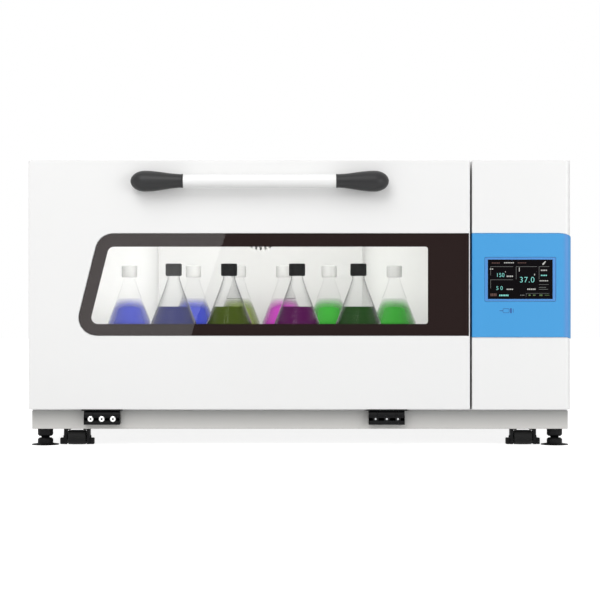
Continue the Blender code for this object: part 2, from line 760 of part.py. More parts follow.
def running_gear():
    """Wheels on the axles and feet in the nut blocks."""
    half = WHEEL_WIDTH / 2
    bore = AXLE_RADIUS + RUNNING
    flat = WHEEL_FLAT / 2
    shoulder = (WHEEL_RADIUS - WHEEL_CROWN / 3, (flat + half) / 2)
    side = WHEEL_RADIUS - WHEEL_CROWN
    tread = [(bore, half), (side, half), shoulder, (WHEEL_RADIUS, flat), (WHEEL_RADIUS, -flat),
             (shoulder[0], -shoulder[1]), (side, -half), (bore, -half)]
    lower = FOOT_DISC + FOOT_LOWER_COLLAR
    neck = lower + FOOT_NECK
    upper = PLINTH_BOTTOM - SEAT
    stem = PLINTH_BOTTOM + FOOT_STEM_ENGAGED
    foot_profile = [
        (0, stem), (FOOT_STEM_RADIUS, stem), (FOOT_STEM_RADIUS, upper),
        (FOOT_COLLAR_RADIUS, upper), (FOOT_COLLAR_RADIUS, neck + FOOT_CHAMFER),
        (FOOT_COLLAR_RADIUS - FOOT_CHAMFER, neck), (FOOT_NECK_RADIUS, neck),
        (FOOT_NECK_RADIUS, lower), (FOOT_COLLAR_RADIUS - FOOT_CHAMFER, lower),
        (FOOT_COLLAR_RADIUS, lower - FOOT_CHAMFER), (FOOT_COLLAR_RADIUS, FOOT_DISC),
        (FOOT_DISC_RADIUS, FOOT_DISC_EDGE), (FOOT_DISC_RADIUS, 0), (0, 0)]
    for name, side, depth in corners():
        hub = pivot(f"wheel_axis_{name}", (side * CASTER_X, depth, WHEEL_Z))
        wheel = turned("wheel", tread, hub.location, "X")
        node(f"caster_wheel_{name}", wheel, "rubber", hub)
        screw = pivot(f"foot_axis_{name}", (side * FOOT_X, depth, 0))
        foot = turned("foot", foot_profile, screw.location, "Z", ROUND_SMALL)
        node(f"levelling_foot_{name}", foot, "black_enamel", screw)


def cabinet_sheets():
    """Side panels, top cover and rear panel."""
    y = (FRAME_FACE, CABINET_REAR)
    z = (CABINET_BOTTOM, SKIRT_BOTTOM - SEAT)
    left = block("left_side_panel", (X_LEFT, X_LEFT + SHEET), y, z)
    node("left_side_panel", left, "white_enamel")
    right = block("right_side_panel", (X_RIGHT - SHEET, X_RIGHT), y, z)
    slots = louvre_cutter("side_louvres", "YZ", CABINET_REAR - LOUVRE_LENGTH, z[0] + LOUVRE_PITCH,
                          (X_RIGHT - 2 * SHEET, X_RIGHT + SHEET))
    node("right_side_panel", cut(right, slots), "white_enamel")

    lid = block("top_cover", (X_LEFT, X_RIGHT), y, (SKIRT_BOTTOM, HEIGHT))
    hollow = block("lid_inside", (X_LEFT + SHEET, X_RIGHT - SHEET),
                   (FRAME_FACE - SHEET, CABINET_REAR - SHEET),
                   (SKIRT_BOTTOM - SHEET, HEIGHT - SHEET))
    node("top_cover", cut(lid, hollow), "white_enamel")

    inner = SHEET + SEAT
    rear = block("rear_panel", (X_LEFT + inner, X_RIGHT - inner),
                 (CABINET_REAR - SHEET, CABINET_REAR), z)
    x, low = inlet_place()
    opening = block("inlet_opening", (x - TRIM_GAP, x + INLET_WIDTH + TRIM_GAP),
                    (CABINET_REAR - 2 * SHEET, CABINET_REAR + SHEET),
                    (low - TRIM_GAP, low + INLET_HEIGHT + TRIM_GAP))
    slots = louvre_cutter("rear_louvres", "XZ", MIDDLE_X, FAN_Z - LOUVRE_ROWS * LOUVRE_PITCH / 2,
                          (CABINET_REAR - 2 * SHEET, CABINET_REAR + SHEET), 2,
                          LOUVRE_LENGTH + LOUVRE_PITCH)
    node("rear_panel", cut(rear, opening, slots), "white_enamel")


def inlet_place():
    """The mains inlet's lower left corner in the rear panel."""
    return X_RIGHT - INLET_FROM_RIGHT - INLET_WIDTH, PLINTH_TOP + INLET_ABOVE_PLINTH


def front_frame():
    """The frame behind the door, open to the chamber and to the column."""
    inner = SHEET + SEAT
    top = HEIGHT - SHEET - SEAT
    outline = rectangle((X_LEFT + inner, X_RIGHT - inner), (CABINET_BOTTOM, top))
    mouth = soft_rectangle(*chamber_mouth(), MOUTH_CORNER)
    service = rectangle((COLUMN_LEFT, X_RIGHT), (CABINET_BOTTOM, top), SERVICE_MARGIN)
    frame = plate("front_frame", [outline, mouth, service], "XZ", (FRAME_FACE, FRAME_BACK))
    node("front_frame", frame, "white_enamel")


def chamber_mouth():
    """The chamber's opening in the front frame."""
    return ((CHAMBER_X[0] + FRAME_LIP, CHAMBER_X[1] - FRAME_LIP),
            (CHAMBER_Z[0] + FRAME_LIP, CHAMBER_Z[1] - FRAME_LIP))


def chamber_walls():
    """The liner, open at the front, and the insulation round it."""
    outer_x = (CHAMBER_X[0] - LINER_SHEET, CHAMBER_X[1] + LINER_SHEET)
    outer_z = (CHAMBER_Z[0] - LINER_SHEET, CHAMBER_Z[1] + LINER_SHEET)
    rear = LINER_REAR + LINER_SHEET
    liner = block("chamber_liner", outer_x, (LINER_FRONT, rear), outer_z)
    inside = block("liner_inside", CHAMBER_X, (LINER_FRONT - LINER_SHEET, LINER_REAR), CHAMBER_Z)
    shaft = rod("liner_shaft_hole", FAN_SHAFT_RADIUS + FAN_SHAFT_PLAY, "Y",
                (MIDDLE_X, LINER_REAR - LINER_SHEET, FAN_Z),
                (MIDDLE_X, rear + LINER_SHEET, FAN_Z), ROUND_SMALL)
    node("chamber_liner", cut(liner, inside, shaft), "stainless")

    jacket = block("insulation_jacket",
                   (X_LEFT + SHEET + SEAT, COLUMN_LEFT - JACKET_CLEAR),
                   (FRAME_BACK + SEAT, JACKET_REAR),
                   (CABINET_BOTTOM, HEIGHT - SHEET - SEAT))
    hollow = block("jacket_inside", (outer_x[0] - SEAT, outer_x[1] + SEAT),
                   (LINER_FRONT - LINER_SHEET, rear + SEAT), (outer_z[0] - SEAT, outer_z[1] + SEAT))
    shaft = rod("jacket_shaft_hole", FAN_SHAFT_RADIUS + FAN_SHAFT_PLAY, "Y",
                (MIDDLE_X, LINER_REAR, FAN_Z), (MIDDLE_X, JACKET_REAR + LINER_SHEET, FAN_Z),
                ROUND_SMALL)
    node("insulation_jacket", cut(jacket, hollow, shaft), "foam")


def column_shell(name, levels, proud=0.0):
    """A folded cover for one stage of the column, open at the back."""
    x = (COLUMN_LEFT, X_RIGHT + proud)
    y = (DOOR_FACE - proud, FRAME_FACE - SEAT)
    corner = COLUMN_CORNER + proud
    shell = plate(name, [rounded(rectangle(x, y), (0, corner, 0, 0), 6)], "XY", levels)
    inner = rounded(rectangle((x[0] + SHEET, x[1] - SHEET), (y[0] + SHEET, y[1] + SHEET)),
                    (0, corner - SHEET, 0, 0), 6)
    hollow = plate(name + "_inside", [inner], "XY", (levels[0] + SHEET, levels[1] - SHEET))
    return cut(shell, hollow)


def column():
    """The three column covers with the touch screen and the board behind them."""
    fascia_top = FASCIA_BOTTOM + FASCIA_HEIGHT
    upper = column_shell("column_upper_cover", (fascia_top + COVER_GAP, HEIGHT))
    node("column_upper_cover", upper, "white_enamel")
    lower = column_shell("column_lower_cover", (DOOR_BOTTOM, FASCIA_BOTTOM - COVER_GAP))
    node("column_lower_cover", lower, "white_enamel")

    x = (COLUMN_LEFT + BEZEL_LEFT, COLUMN_LEFT + BEZEL_LEFT + BEZEL_WIDTH)
    z = (FASCIA_BOTTOM + BEZEL_BOTTOM, FASCIA_BOTTOM + BEZEL_BOTTOM + BEZEL_HEIGHT)
    face = DOOR_FACE - FASCIA_PROUD
    fascia = column_shell("control_fascia", (FASCIA_BOTTOM, fascia_top), FASCIA_PROUD)
    window = plate("bezel_opening", [soft_rectangle(x, z, BEZEL_CORNER)], "XZ",
                   (face - SHEET, face + 2 * SHEET))
    node("control_fascia", cut(fascia, window), "blue_plastic")

    front = face + BEZEL_SET
    bezel = plate("touch_screen", [soft_rectangle(x, z, BEZEL_CORNER - SEAT, SEAT)], "XZ",
                  (front, front + BEZEL_DEPTH))
    display = block("display_recess", (x[0] + DISPLAY_MARGIN_X, x[1] - DISPLAY_MARGIN_X),
                    (front - DISPLAY_SET, front + DISPLAY_SET),
                    (z[0] + DISPLAY_MARGIN_Z, z[1] - DISPLAY_MARGIN_Z))
    node("touch_screen", cut(bezel, display), "screen")
    controller_board()


def controller_board():
    """A board on standoffs against the insulation's column side."""
    wall = COLUMN_LEFT - JACKET_CLEAR + SEAT
    back = wall + BOARD_STANDOFF
    y = (FRAME_BACK + BOARD_FROM_FRAME, FRAME_BACK + BOARD_FROM_FRAME + BOARD_DEPTH)
    z = (CHAMBER_Z[0] + BOARD_ABOVE_FLOOR, CHAMBER_Z[0] + BOARD_ABOVE_FLOOR + BOARD_HEIGHT)
    board = block("controller_board", (back, back + BOARD_SHEET), y, z)
    edge = BOARD_STANDOFF
    standoffs = []
    for depth in (y[0] + edge, y[1] - edge):
        for level in (z[0] + edge, z[1] - edge):
            standoffs.append(rod("standoff", BOARD_STANDOFF / 3, "X", (wall, depth, level),
                                 (back + BOARD_SHEET / 2, depth, level), 8))
    top = back + BOARD_SHEET / 2
    chips = []
    for column, row, deep, tall, high in ((1, 1.5, 3, 3, 2.0), (5, 1.5, 2, 2, 0.9),
                                          (8, 1.5, 2, 3, 1.3), (1.5, 5.5, 4, 2, 0.7),
                                          (7, 5.5, 3, 2, 1.5)):
        chips.append(block("component", (top, top + high * BOARD_GRID),
                           (y[0] + column * BOARD_GRID, y[0] + (column + deep) * BOARD_GRID),
                           (z[0] + row * BOARD_GRID, z[0] + (row + tall) * BOARD_GRID)))
    join(board, combine("standoffs", standoffs), combine("components", chips))
    node("controller_board", board, "board")


def mains_inlet():
    """The inlet module with its socket, and the rocker in its well."""
    x, low = inlet_place()
    flange_face = CABINET_REAR + REAR_PROUD
    z = (low - INLET_FLANGE, low + INLET_HEIGHT + INLET_FLANGE)
    flange = block("power_inlet", (x - INLET_FLANGE, x + INLET_WIDTH + INLET_FLANGE),
                   (CABINET_REAR + SEAT, flange_face), z)
    body = block("inlet_body", (x, x + INLET_WIDTH), (flange_face - INLET_DEPTH, flange_face - SEAT),
                 (low, low + INLET_HEIGHT))
    middle = x + INLET_WIDTH / 2
    socket_low = low + INLET_FLANGE
    socket = block("socket", (middle - SOCKET_WIDTH / 2, middle + SOCKET_WIDTH / 2),
                   (flange_face - SOCKET_DEPTH, flange_face + SEAT),
                   (socket_low, socket_low + SOCKET_HEIGHT))
    well_top = low + INLET_HEIGHT - INLET_FLANGE
    rocker_z = well_top - ROCKER_WELL_HEIGHT / 2
    well = block("rocker_well", (middle - ROCKER_WELL_WIDTH / 2, middle + ROCKER_WELL_WIDTH / 2),
                 (flange_face - ROCKER_WELL_DEPTH, flange_face + SEAT),
                 (well_top - ROCKER_WELL_HEIGHT, well_top))
    axis_y = flange_face - ROCKER_AXIS_IN
    play = 2 * SEAT
    reach = ROCKER_WELL_WIDTH / 2 + 2 * ROCKER_PIN
    sockets = rod("rocker_bearings", ROCKER_PIN + RUNNING, "X", (middle - reach, axis_y, rocker_z),
                  (middle + reach, axis_y, rocker_z), 12)
    node("power_inlet", cut(join(flange, body), socket, well, sockets), "black_plastic")

    turn = pivot("rocker_axis", (middle, axis_y, rocker_z))
    half = ROCKER_HALF_HEIGHT
    rise = ROCKER_FACE + half * math.tan(ROCKER_ANGLE)
    belly = []
    for step in range(7):
        angle = math.radians(200 + 140 * step / 6)
        belly.append((axis_y + ROCKER_BELLY * math.sin(angle),
                      rocker_z + ROCKER_RADIUS * math.cos(angle)))
    outline = belly + [(axis_y + rise, rocker_z + half), (axis_y + ROCKER_FACE, rocker_z),
                       (axis_y + rise, rocker_z - half)]
    width = ROCKER_WELL_WIDTH / 2 - play
    rocker = plate("power_rocker", [outline], "YZ", (middle - width, middle + width))
    pins = rod("rocker_pins", ROCKER_PIN, "X", (middle - reach + play, axis_y, rocker_z),
               (middle + reach - play, axis_y, rocker_z), 12)
    node("power_rocker", join(rocker, pins), "black_plastic", turn)


def circulation():
    """Duct cover, fan, fan motor and heater behind the platform."""
    half = DUCT_WIDTH / 2
    x = (MIDDLE_X - half, MIDDLE_X + half)
    z = (CHAMBER_Z[0] + DUCT_FLOOR_GAP, CHAMBER_Z[1] - DUCT_CEILING_GAP)
    rear = LINER_REAR - SEAT
    duct = block("air_duct_cover", x, (DUCT_FRONT, rear), z)
    inside = block("duct_inside", (x[0] + SHEET, x[1] - SHEET),
                   (DUCT_FRONT + SHEET, rear + SHEET), (z[0] + SHEET, z[1] - SHEET))
    slots = []
    through = (DUCT_FRONT - SHEET, DUCT_FRONT + 2 * SHEET)
    count = int(DUCT_INLET_RADIUS // DUCT_SLOT_PITCH)
    for i in range(-count, count + 1):
        across = i * DUCT_SLOT_PITCH
        tall = math.sqrt(DUCT_INLET_RADIUS ** 2 - across ** 2)
        slots.append(plate("inlet_slot", [rectangle(
            (MIDDLE_X + across - DUCT_SLOT / 2, MIDDLE_X + across + DUCT_SLOT / 2),
            (FAN_Z - tall, FAN_Z + tall))], "XZ", through))
    low = z[0] + 2 * DUCT_SLOT
    for i in range(DUCT_OUTLETS):
        across = (i - (DUCT_OUTLETS - 1) / 2) * DUCT_OUTLET_PITCH
        slots.append(plate("outlet_slot", [rectangle(
            (MIDDLE_X + across - DUCT_SLOT / 2, MIDDLE_X + across + DUCT_SLOT / 2),
            (low, low + DUCT_OUTLET_HEIGHT))], "XZ", through))
    node("air_duct_cover", cut(duct, inside, combine("duct_slots", slots)), "stainless")

    plate_back = LINER_REAR - FAN_FROM_REAR_WALL
    spin = pivot("fan_axis", (MIDDLE_X, plate_back, FAN_Z))
    motor_face = JACKET_REAR + SEAT
    shaft_end = motor_face + FAN_MOTOR_GRIP
    reach = shaft_end - plate_back
    # heights run along +Y from the back plate
    impeller = turned("fan_impeller", [
        (0, reach), (FAN_SHAFT_RADIUS, reach), (FAN_SHAFT_RADIUS, 0), (FAN_RADIUS, 0),
        (FAN_RADIUS, -FAN_PLATE), (FAN_HUB_RADIUS, -FAN_PLATE), (FAN_HUB_RADIUS, -FAN_DEPTH),
        (0, -FAN_DEPTH)], spin.location, "Y")
    blades = []
    for i in range(FAN_BLADES):
        turn = math.tau * i / FAN_BLADES
        blade = block("blade", (FAN_HUB_RADIUS * 1.5, FAN_RADIUS - SEAT),
                      (-FAN_DEPTH + SEAT, -FAN_PLATE / 2), (-FAN_BLADE / 2, FAN_BLADE / 2))
        blade.data.transform(Matrix.Translation(blade.location))
        blade.data.transform(Matrix.Rotation(turn, 4, "Y"))
        blade.location = spin.location
        blades.append(blade)
    node("fan_impeller", join(impeller, combine("blades", blades)), "aluminium", spin)

    bore = FAN_SHAFT_RADIUS + RUNNING
    motor = turned("fan_motor", [
        (0, FAN_MOTOR_LENGTH), (FAN_MOTOR_RADIUS * 0.8, FAN_MOTOR_LENGTH),
        (FAN_MOTOR_RADIUS, FAN_MOTOR_LENGTH * 0.85), (FAN_MOTOR_RADIUS, 0), (bore, 0),
        (bore, FAN_MOTOR_GRIP + SEAT), (0, FAN_MOTOR_GRIP + SEAT)],
        (MIDDLE_X, motor_face, FAN_Z), "Y")
    node("fan_motor", motor, "cast_iron")

    ring_y = LINER_REAR - HEATER_FROM_REAR_WALL
    leg_end = LINER_REAR - SEAT
    points = []
    steps = 20
    for i in range(steps + 1):
        angle = -math.pi / 2 + HEATER_OPENING + (math.tau - 2 * HEATER_OPENING) * i / steps
        points.append((MIDDLE_X + HEATER_RING * math.cos(angle), ring_y,
                       FAN_Z + HEATER_RING * math.sin(angle)))
    first, last = points[0], points[-1]
    bend_y = ring_y + HEATER_BEND
    points = ([(first[0], leg_end, first[2]), (first[0], bend_y, first[2])] + points[1:-1]
              + [(last[0], bend_y, last[2]), (last[0], leg_end, last[2])])
    node("heater_coil", tube("heater_coil", points, HEATER_RADIUS, 1), "stainless")


def lamp():
    """A tube lamp in two holders under the chamber's ceiling."""
    y = LINER_FRONT + LAMP_FROM_MOUTH
    z = CHAMBER_Z[1] - LAMP_BELOW_CEILING
    half = LAMP_LENGTH / 2
    bulb = rod("interior_lamp", LAMP_RADIUS, "X", (MIDDLE_X - half, y, z), (MIDDLE_X + half, y, z),
               ROUND_SMALL)
    grip = LAMP_HOLDER / 2
    holders = []
    for side in (-1, 1):
        end = MIDDLE_X + side * half
        holders.append(block("holder", (end - grip, end + grip),
                             (y - grip, y + grip), (z - grip, CHAMBER_Z[1] - SEAT)))
    node("interior_lamp", join(bulb, combine("holders", holders)), "lamp")


def hinge_x(i):
    """The ends of a hinge block along its pin."""
    middle = X_LEFT + HINGE_CENTRES[i]
    return middle - HINGE_BLOCK_LENGTH / 2, middle + HINGE_BLOCK_LENGTH / 2


def hinge_block(name, i):
    """A block bolted to the plinth, with two knuckles and the pin between them."""
    x = hinge_x(i)
    back = DOOR_FACE + PLINTH_RECESS - SEAT
    block_top = HINGE_Z - SEAT
    body = block(name, x, (HINGE_Y - BLOCK_FACE, back), (HINGE_Z - BLOCK_DROP, block_top))
    knuckles = []
    for end, inner in ((x[0], x[0] + KNUCKLE_END), (x[1], x[1] - KNUCKLE_END)):
        knuckles.append(rod("knuckle", KNUCKLE_RADIUS, "X", (min(end, inner) + SEAT, HINGE_Y, HINGE_Z),
                            (max(end, inner) - SEAT, HINGE_Y, HINGE_Z)))
    room = block("knuckle_room", (x[0] + KNUCKLE_END - SEAT, x[1] - KNUCKLE_END + SEAT),
                 (HINGE_Y - 2 * KNUCKLE_RADIUS, back + 2 * KNUCKLE_RADIUS),
                 (HINGE_Z - KNUCKLE_RADIUS - 2 * KNUCKLE_PLAY, HINGE_Z + KNUCKLE_RADIUS))
    pin = rod("pin", HINGE_PIN_RADIUS, "X", (x[0] + 2 * SEAT, HINGE_Y, HINGE_Z),
              (x[1] - 2 * SEAT, HINGE_Y, HINGE_Z), ROUND_SMALL)
    join(cut(join(body, combine("knuckles", knuckles)), room), pin)
    node(name, body, "black_enamel")


# Door

def door(swing):
    """Skin, inner panel, two glasses and gasket, all on the door's pivot."""
    skin = block("door_outer_skin", (X_LEFT, DOOR_RIGHT), (DOOR_FACE, DOOR_BACK),
                 (DOOR_BOTTOM, HEIGHT), DOOR_EDGE, 2)
    inside = block("skin_inside", (X_LEFT + SHEET, DOOR_RIGHT - SHEET),
                   (DOOR_FACE + SHEET, DOOR_BACK + SHEET), (DOOR_BOTTOM + SHEET, HEIGHT - SHEET))
    hole = plate("glass_hole", [glass_outline(TRIM_GAP)], "XZ",
                 (DOOR_FACE - SHEET, DOOR_FACE + 2 * SHEET))
    node("door_outer_skin", cut(skin, inside, hole), "white_enamel", swing)

    glass = (DOOR_FACE - GLASS_PROUD, DOOR_FACE - GLASS_PROUD + GLASS_SHEET)
    outer = plate("window_outer_glass", [glass_outline()], "XZ", glass)
    node("window_outer_glass", outer, "clear_glass", swing)

    inner = SHEET + SEAT
    x = (X_LEFT + inner, DOOR_RIGHT - inner)
    z = (DOOR_BOTTOM + inner, HEIGHT - inner)
    rim = rectangle(x, z)
    back = plate("door_inner_panel", [rim], "XZ", (DOOR_BACK - SHEET, DOOR_BACK))
    lip = plate("panel_lip", [rectangle(x, z, SEAT), rectangle(x, z, SHEET)], "XZ",
                (DOOR_BACK - DOOR_LIP, DOOR_BACK - SHEET / 2))
    seat_front = glass[1] + SEAT
    seat = plate("glass_seat", [clear_outline(REVEAL_SET + GLASS_SEAT_WIDTH)], "XZ",
                 (seat_front, seat_front + REVEAL_WALL))
    wall = plate("reveal_wall", [clear_outline(REVEAL_SET + REVEAL_WALL)], "XZ",
                 (seat_front + REVEAL_WALL / 2, DOOR_BACK - SHEET / 2))
    sight = plate("reveal_sight", [clear_outline(REVEAL_SET)], "XZ",
                  (seat_front - REVEAL_WALL, DOOR_BACK + REVEAL_WALL))
    node("door_inner_panel", cut(join(back, lip, wall, seat), sight), "white_enamel", swing)

    rear_glass = plate("window_inner_glass", [clear_outline(REVEAL_SET - SEAT)], "XZ",
                       (DOOR_BACK - GLASS_SHEET - SEAT, DOOR_BACK - SEAT))
    node("window_inner_glass", rear_glass, "clear_glass", swing)

    mouth_x, mouth_z = chamber_mouth()
    near, far = -GASKET_INSET, -GASKET_INSET - GASKET_WIDTH
    gasket = plate("door_gasket", [
        soft_rectangle(mouth_x, mouth_z, MOUTH_CORNER - far, far),
        soft_rectangle(mouth_x, mouth_z, MOUTH_CORNER - near, near)], "XZ",
        (DOOR_BACK + SEAT, DOOR_BACK + SEAT + GASKET_THICKNESS))
    node("door_gasket", gasket, "rubber", swing)


def handle_end_stations(outer, side):
    """Sections of a long cap that swells from the bar and closes in a round nose."""
    bar_y = -DEPTH / 2 + HANDLE_RADIUS
    level = HEIGHT - HANDLE_BELOW_TOP
    deep = (DOOR_FACE - SEAT + DEPTH / 2) / 2
    foot_y = -DEPTH / 2 + deep
    taper = HANDLE_END_LENGTH - HANDLE_END_NOSE
    last = math.acos(HANDLE_END_TIP / HANDLE_END_HALF_HEIGHT)
    stations = []
    for step in range(7):
        swell = math.cos(last * (1 - step / 6))
        along = HANDLE_END_NOSE * (1 - math.sin(last * (1 - step / 6)) / math.sin(last))
        stations.append(((outer + side * along, foot_y, level), deep * swell,
                         HANDLE_END_HALF_HEIGHT * swell))
    for step in range(1, 7):
        ease = 1 - (step / 6) ** HANDLE_END_FULLNESS
        stations.append((
            (outer + side * (HANDLE_END_NOSE + taper * step / 6),
             bar_y + (foot_y - bar_y) * ease, level),
            HANDLE_RADIUS + (deep - HANDLE_RADIUS) * ease,
            HANDLE_RADIUS + (HANDLE_END_HALF_HEIGHT - HANDLE_RADIUS) * ease))
    return stations


def handle(swing):
    """A tube between two end caps that stand on the door."""
    middle = X_LEFT + HANDLE_CENTRE + HANDLE_LENGTH / 2
    y = -DEPTH / 2 + HANDLE_RADIUS
    z = HEIGHT - HANDLE_BELOW_TOP
    half = HANDLE_LENGTH / 2 - HANDLE_END_LENGTH - SEAT
    bar = turned("handle_bar", [(HANDLE_RADIUS, half), (HANDLE_RADIUS, -half),
                                (HANDLE_BORE, -half), (HANDLE_BORE, half)],
                 (middle, y, z), "X")
    node("handle_bar", bar, "white_bar", swing)
    for name, side in (("handle_end_left", 1), ("handle_end_right", -1)):
        outer = middle - side * HANDLE_LENGTH / 2
        cap = loft(name, handle_end_stations(outer, side))
        inner = outer + side * HANDLE_END_LENGTH
        start, end = sorted((inner - side * HANDLE_SPIGOT, inner + side * HANDLE_SPIGOT))
        spigot = rod("spigot", HANDLE_BORE - SEAT, "X", (start, y, z), (end, y, z), ROUND_SMALL)
        node(name, join(cap, spigot), "black_plastic", swing)


def hinge_leaf(name, i, swing):
    """A leaf under the door with the middle knuckle that runs on the pin."""
    x = hinge_x(i)
    top = DOOR_BOTTOM - SEAT
    wings = (x[0] - LEAF_WING, x[1]) if i == 0 else (x[0], x[1] + LEAF_WING)
    leaf = block(name, wings, (HINGE_Y - LEAF_FRONT, HINGE_Y - LEAF_FRONT + LEAF_DEPTH),
                 (top - LEAF_SHEET, top))
    inner = (x[0] + KNUCKLE_END + KNUCKLE_PLAY, x[1] - KNUCKLE_END - KNUCKLE_PLAY)
    tongue = block("tongue", (inner[0] + SEAT, inner[1] - SEAT),
                   (HINGE_Y - LEAF_TONGUE, HINGE_Y + LEAF_TONGUE),
                   (HINGE_Z, top - LEAF_SHEET / 2))
    knuckle = rod("knuckle", KNUCKLE_RADIUS, "X", (inner[0], HINGE_Y, HINGE_Z),
                  (inner[1], HINGE_Y, HINGE_Z))
    bore = rod("bore", HINGE_PIN_RADIUS + RUNNING, "X", (inner[0] - SEAT, HINGE_Y, HINGE_Z),
               (inner[1] + SEAT, HINGE_Y, HINGE_Z), ROUND_SMALL)
    node(name, cut(join(leaf, tongue, knuckle), bore), "black_enamel", swing)


# Shaking drive

def idler_places():
    """The two idler posts, on a diagonal about the spindle."""
    return (("front", MIDDLE_X - IDLER_X, MIDDLE_Y - IDLER_Y),
            ("rear", MIDDLE_X + IDLER_X, MIDDLE_Y + IDLER_Y))


def drive_base():
    """A plate on the chamber's floor with the spindle and the idler posts."""
    low = CHAMBER_Z[0] + SEAT
    base = block("drive_base", (MIDDLE_X - BASE_WIDTH / 2, MIDDLE_X + BASE_WIDTH / 2),
                 (MIDDLE_Y - BASE_DEPTH / 2, MIDDLE_Y + BASE_DEPTH / 2), (low, BASE_TOP))
    root = BASE_TOP - BASE_PLATE / 2
    spindle_top = CRANK_TOP - CRANK_ROOF - SEAT
    posts = [turned("spindle", [
        (0, spindle_top), (SPINDLE_RADIUS, spindle_top), (SPINDLE_RADIUS, BOSS_TOP),
        (BOSS_RADIUS, BOSS_TOP), (BOSS_RADIUS, root), (0, root)], (MIDDLE_X, MIDDLE_Y, 0))]
    shoulder = CRANK_TOP - IDLER_DISC_HEIGHT - SEAT
    tip = CRANK_TOP - IDLER_ROOF - SEAT
    for name, x, y in idler_places():
        posts.append(turned(f"idler_post_{name}", [
            (0, tip), (IDLER_PIN_RADIUS, tip), (IDLER_PIN_RADIUS, shoulder),
            (IDLER_POST_RADIUS, shoulder), (IDLER_POST_RADIUS, root), (0, root)], (x, y, 0),
            steps=ROUND_SMALL))
    node("drive_base", join(base, combine("posts", posts)), "cast_iron")


def groove_profile(radius, bottom):
    """The grooved face of a pulley's rim, from its top down."""
    face = [(radius, bottom + RIM_HEIGHT)]
    for i in reversed(range(GROOVES)):
        level = bottom + PULLEY_MARGIN + (i + 0.5) * GROOVE_PITCH
        face += [(radius, level + GROOVE_HALF_WIDTH), (radius - GROOVE_DEPTH, level),
                 (radius, level - GROOVE_HALF_WIDTH)]
    return face + [(radius, bottom)]


def crank_pulley(spin):
    """The driven pulley with its hub, counterweight and eccentric pin."""
    low = BOSS_TOP + SEAT
    bore = SPINDLE_RADIUS + RUNNING
    rim_inner = CRANK_PULLEY_RADIUS - GROOVE_DEPTH - PULLEY_RIM / 2
    web = (RIM_BOTTOM + (RIM_HEIGHT - PULLEY_WEB) / 2, RIM_BOTTOM + (RIM_HEIGHT + PULLEY_WEB) / 2)
    profile = [(0, CRANK_TOP), (CRANK_HUB_RADIUS, CRANK_TOP), (CRANK_HUB_RADIUS, web[1]),
               (rim_inner, web[1]), (rim_inner, RIM_TOP)]
    profile += groove_profile(CRANK_PULLEY_RADIUS, RIM_BOTTOM)
    profile += [(rim_inner, RIM_BOTTOM), (rim_inner, web[0]), (CRANK_HUB_RADIUS, web[0]),
                (CRANK_HUB_RADIUS, low), (bore, low), (bore, CRANK_TOP - CRANK_ROOF),
                (0, CRANK_TOP - CRANK_ROOF)]
    pulley = turned("crank_pulley", profile, (MIDDLE_X, MIDDLE_Y, 0), steps=ROUND_LARGE)
    pin = rod("crank_pin", CRANK_PIN_RADIUS, "Z",
              (MIDDLE_X + ORBIT_RADIUS, MIDDLE_Y, CRANK_TOP - CRANK_ROOF / 2),
              (MIDDLE_X + ORBIT_RADIUS, MIDDLE_Y, CRANK_PIN_TOP))
    arc = []
    for radius, order in ((COUNTERWEIGHT_OUTER, 1), (COUNTERWEIGHT_INNER, -1)):
        for step in range(9):
            angle = math.pi + order * COUNTERWEIGHT_HALF_ANGLE * (step / 4 - 1)
            arc.append((MIDDLE_X + radius * math.cos(angle), MIDDLE_Y + radius * math.sin(angle)))
    weight = plate("counterweight", [arc], "XY",
                   (web[1] - PULLEY_WEB / 2, RIM_TOP + COUNTERWEIGHT_ABOVE_RIM))
    node("crank_pulley", join(pulley, pin, weight), "cast_iron", spin)


def motor_and_belt():
    """Flat motor, its pulley on the shaft, and the ribbed belt round both pulleys."""
    low = BASE_TOP + SEAT
    high = low + MOTOR_HEIGHT
    bore = MOTOR_SHAFT_RADIUS + RUNNING
    motor = turned("drive_motor", [
        (MOTOR_RADIUS - MOTOR_EDGE, high), (MOTOR_RADIUS, high - MOTOR_EDGE),
        (MOTOR_RADIUS, low), (bore, low), (bore, high)], (MOTOR_X, MIDDLE_Y, 0))
    node("drive_motor", motor, "aluminium")

    spin = pivot("motor_axis", (MOTOR_X, MIDDLE_Y, RIM_BOTTOM))
    radius = CRANK_PULLEY_RADIUS / PULLEY_RATIO
    profile = [(0, RIM_TOP)] + groove_profile(radius, RIM_BOTTOM)
    profile += [(MOTOR_SHAFT_RADIUS, RIM_BOTTOM), (MOTOR_SHAFT_RADIUS, high - MOTOR_SHAFT_GRIP),
                (0, high - MOTOR_SHAFT_GRIP)]
    pulley = turned("motor_pulley", profile, (MOTOR_X, MIDDLE_Y, 0))
    node("motor_pulley", pulley, "aluminium", spin)

    node("drive_belt", belt(radius), "rubber")


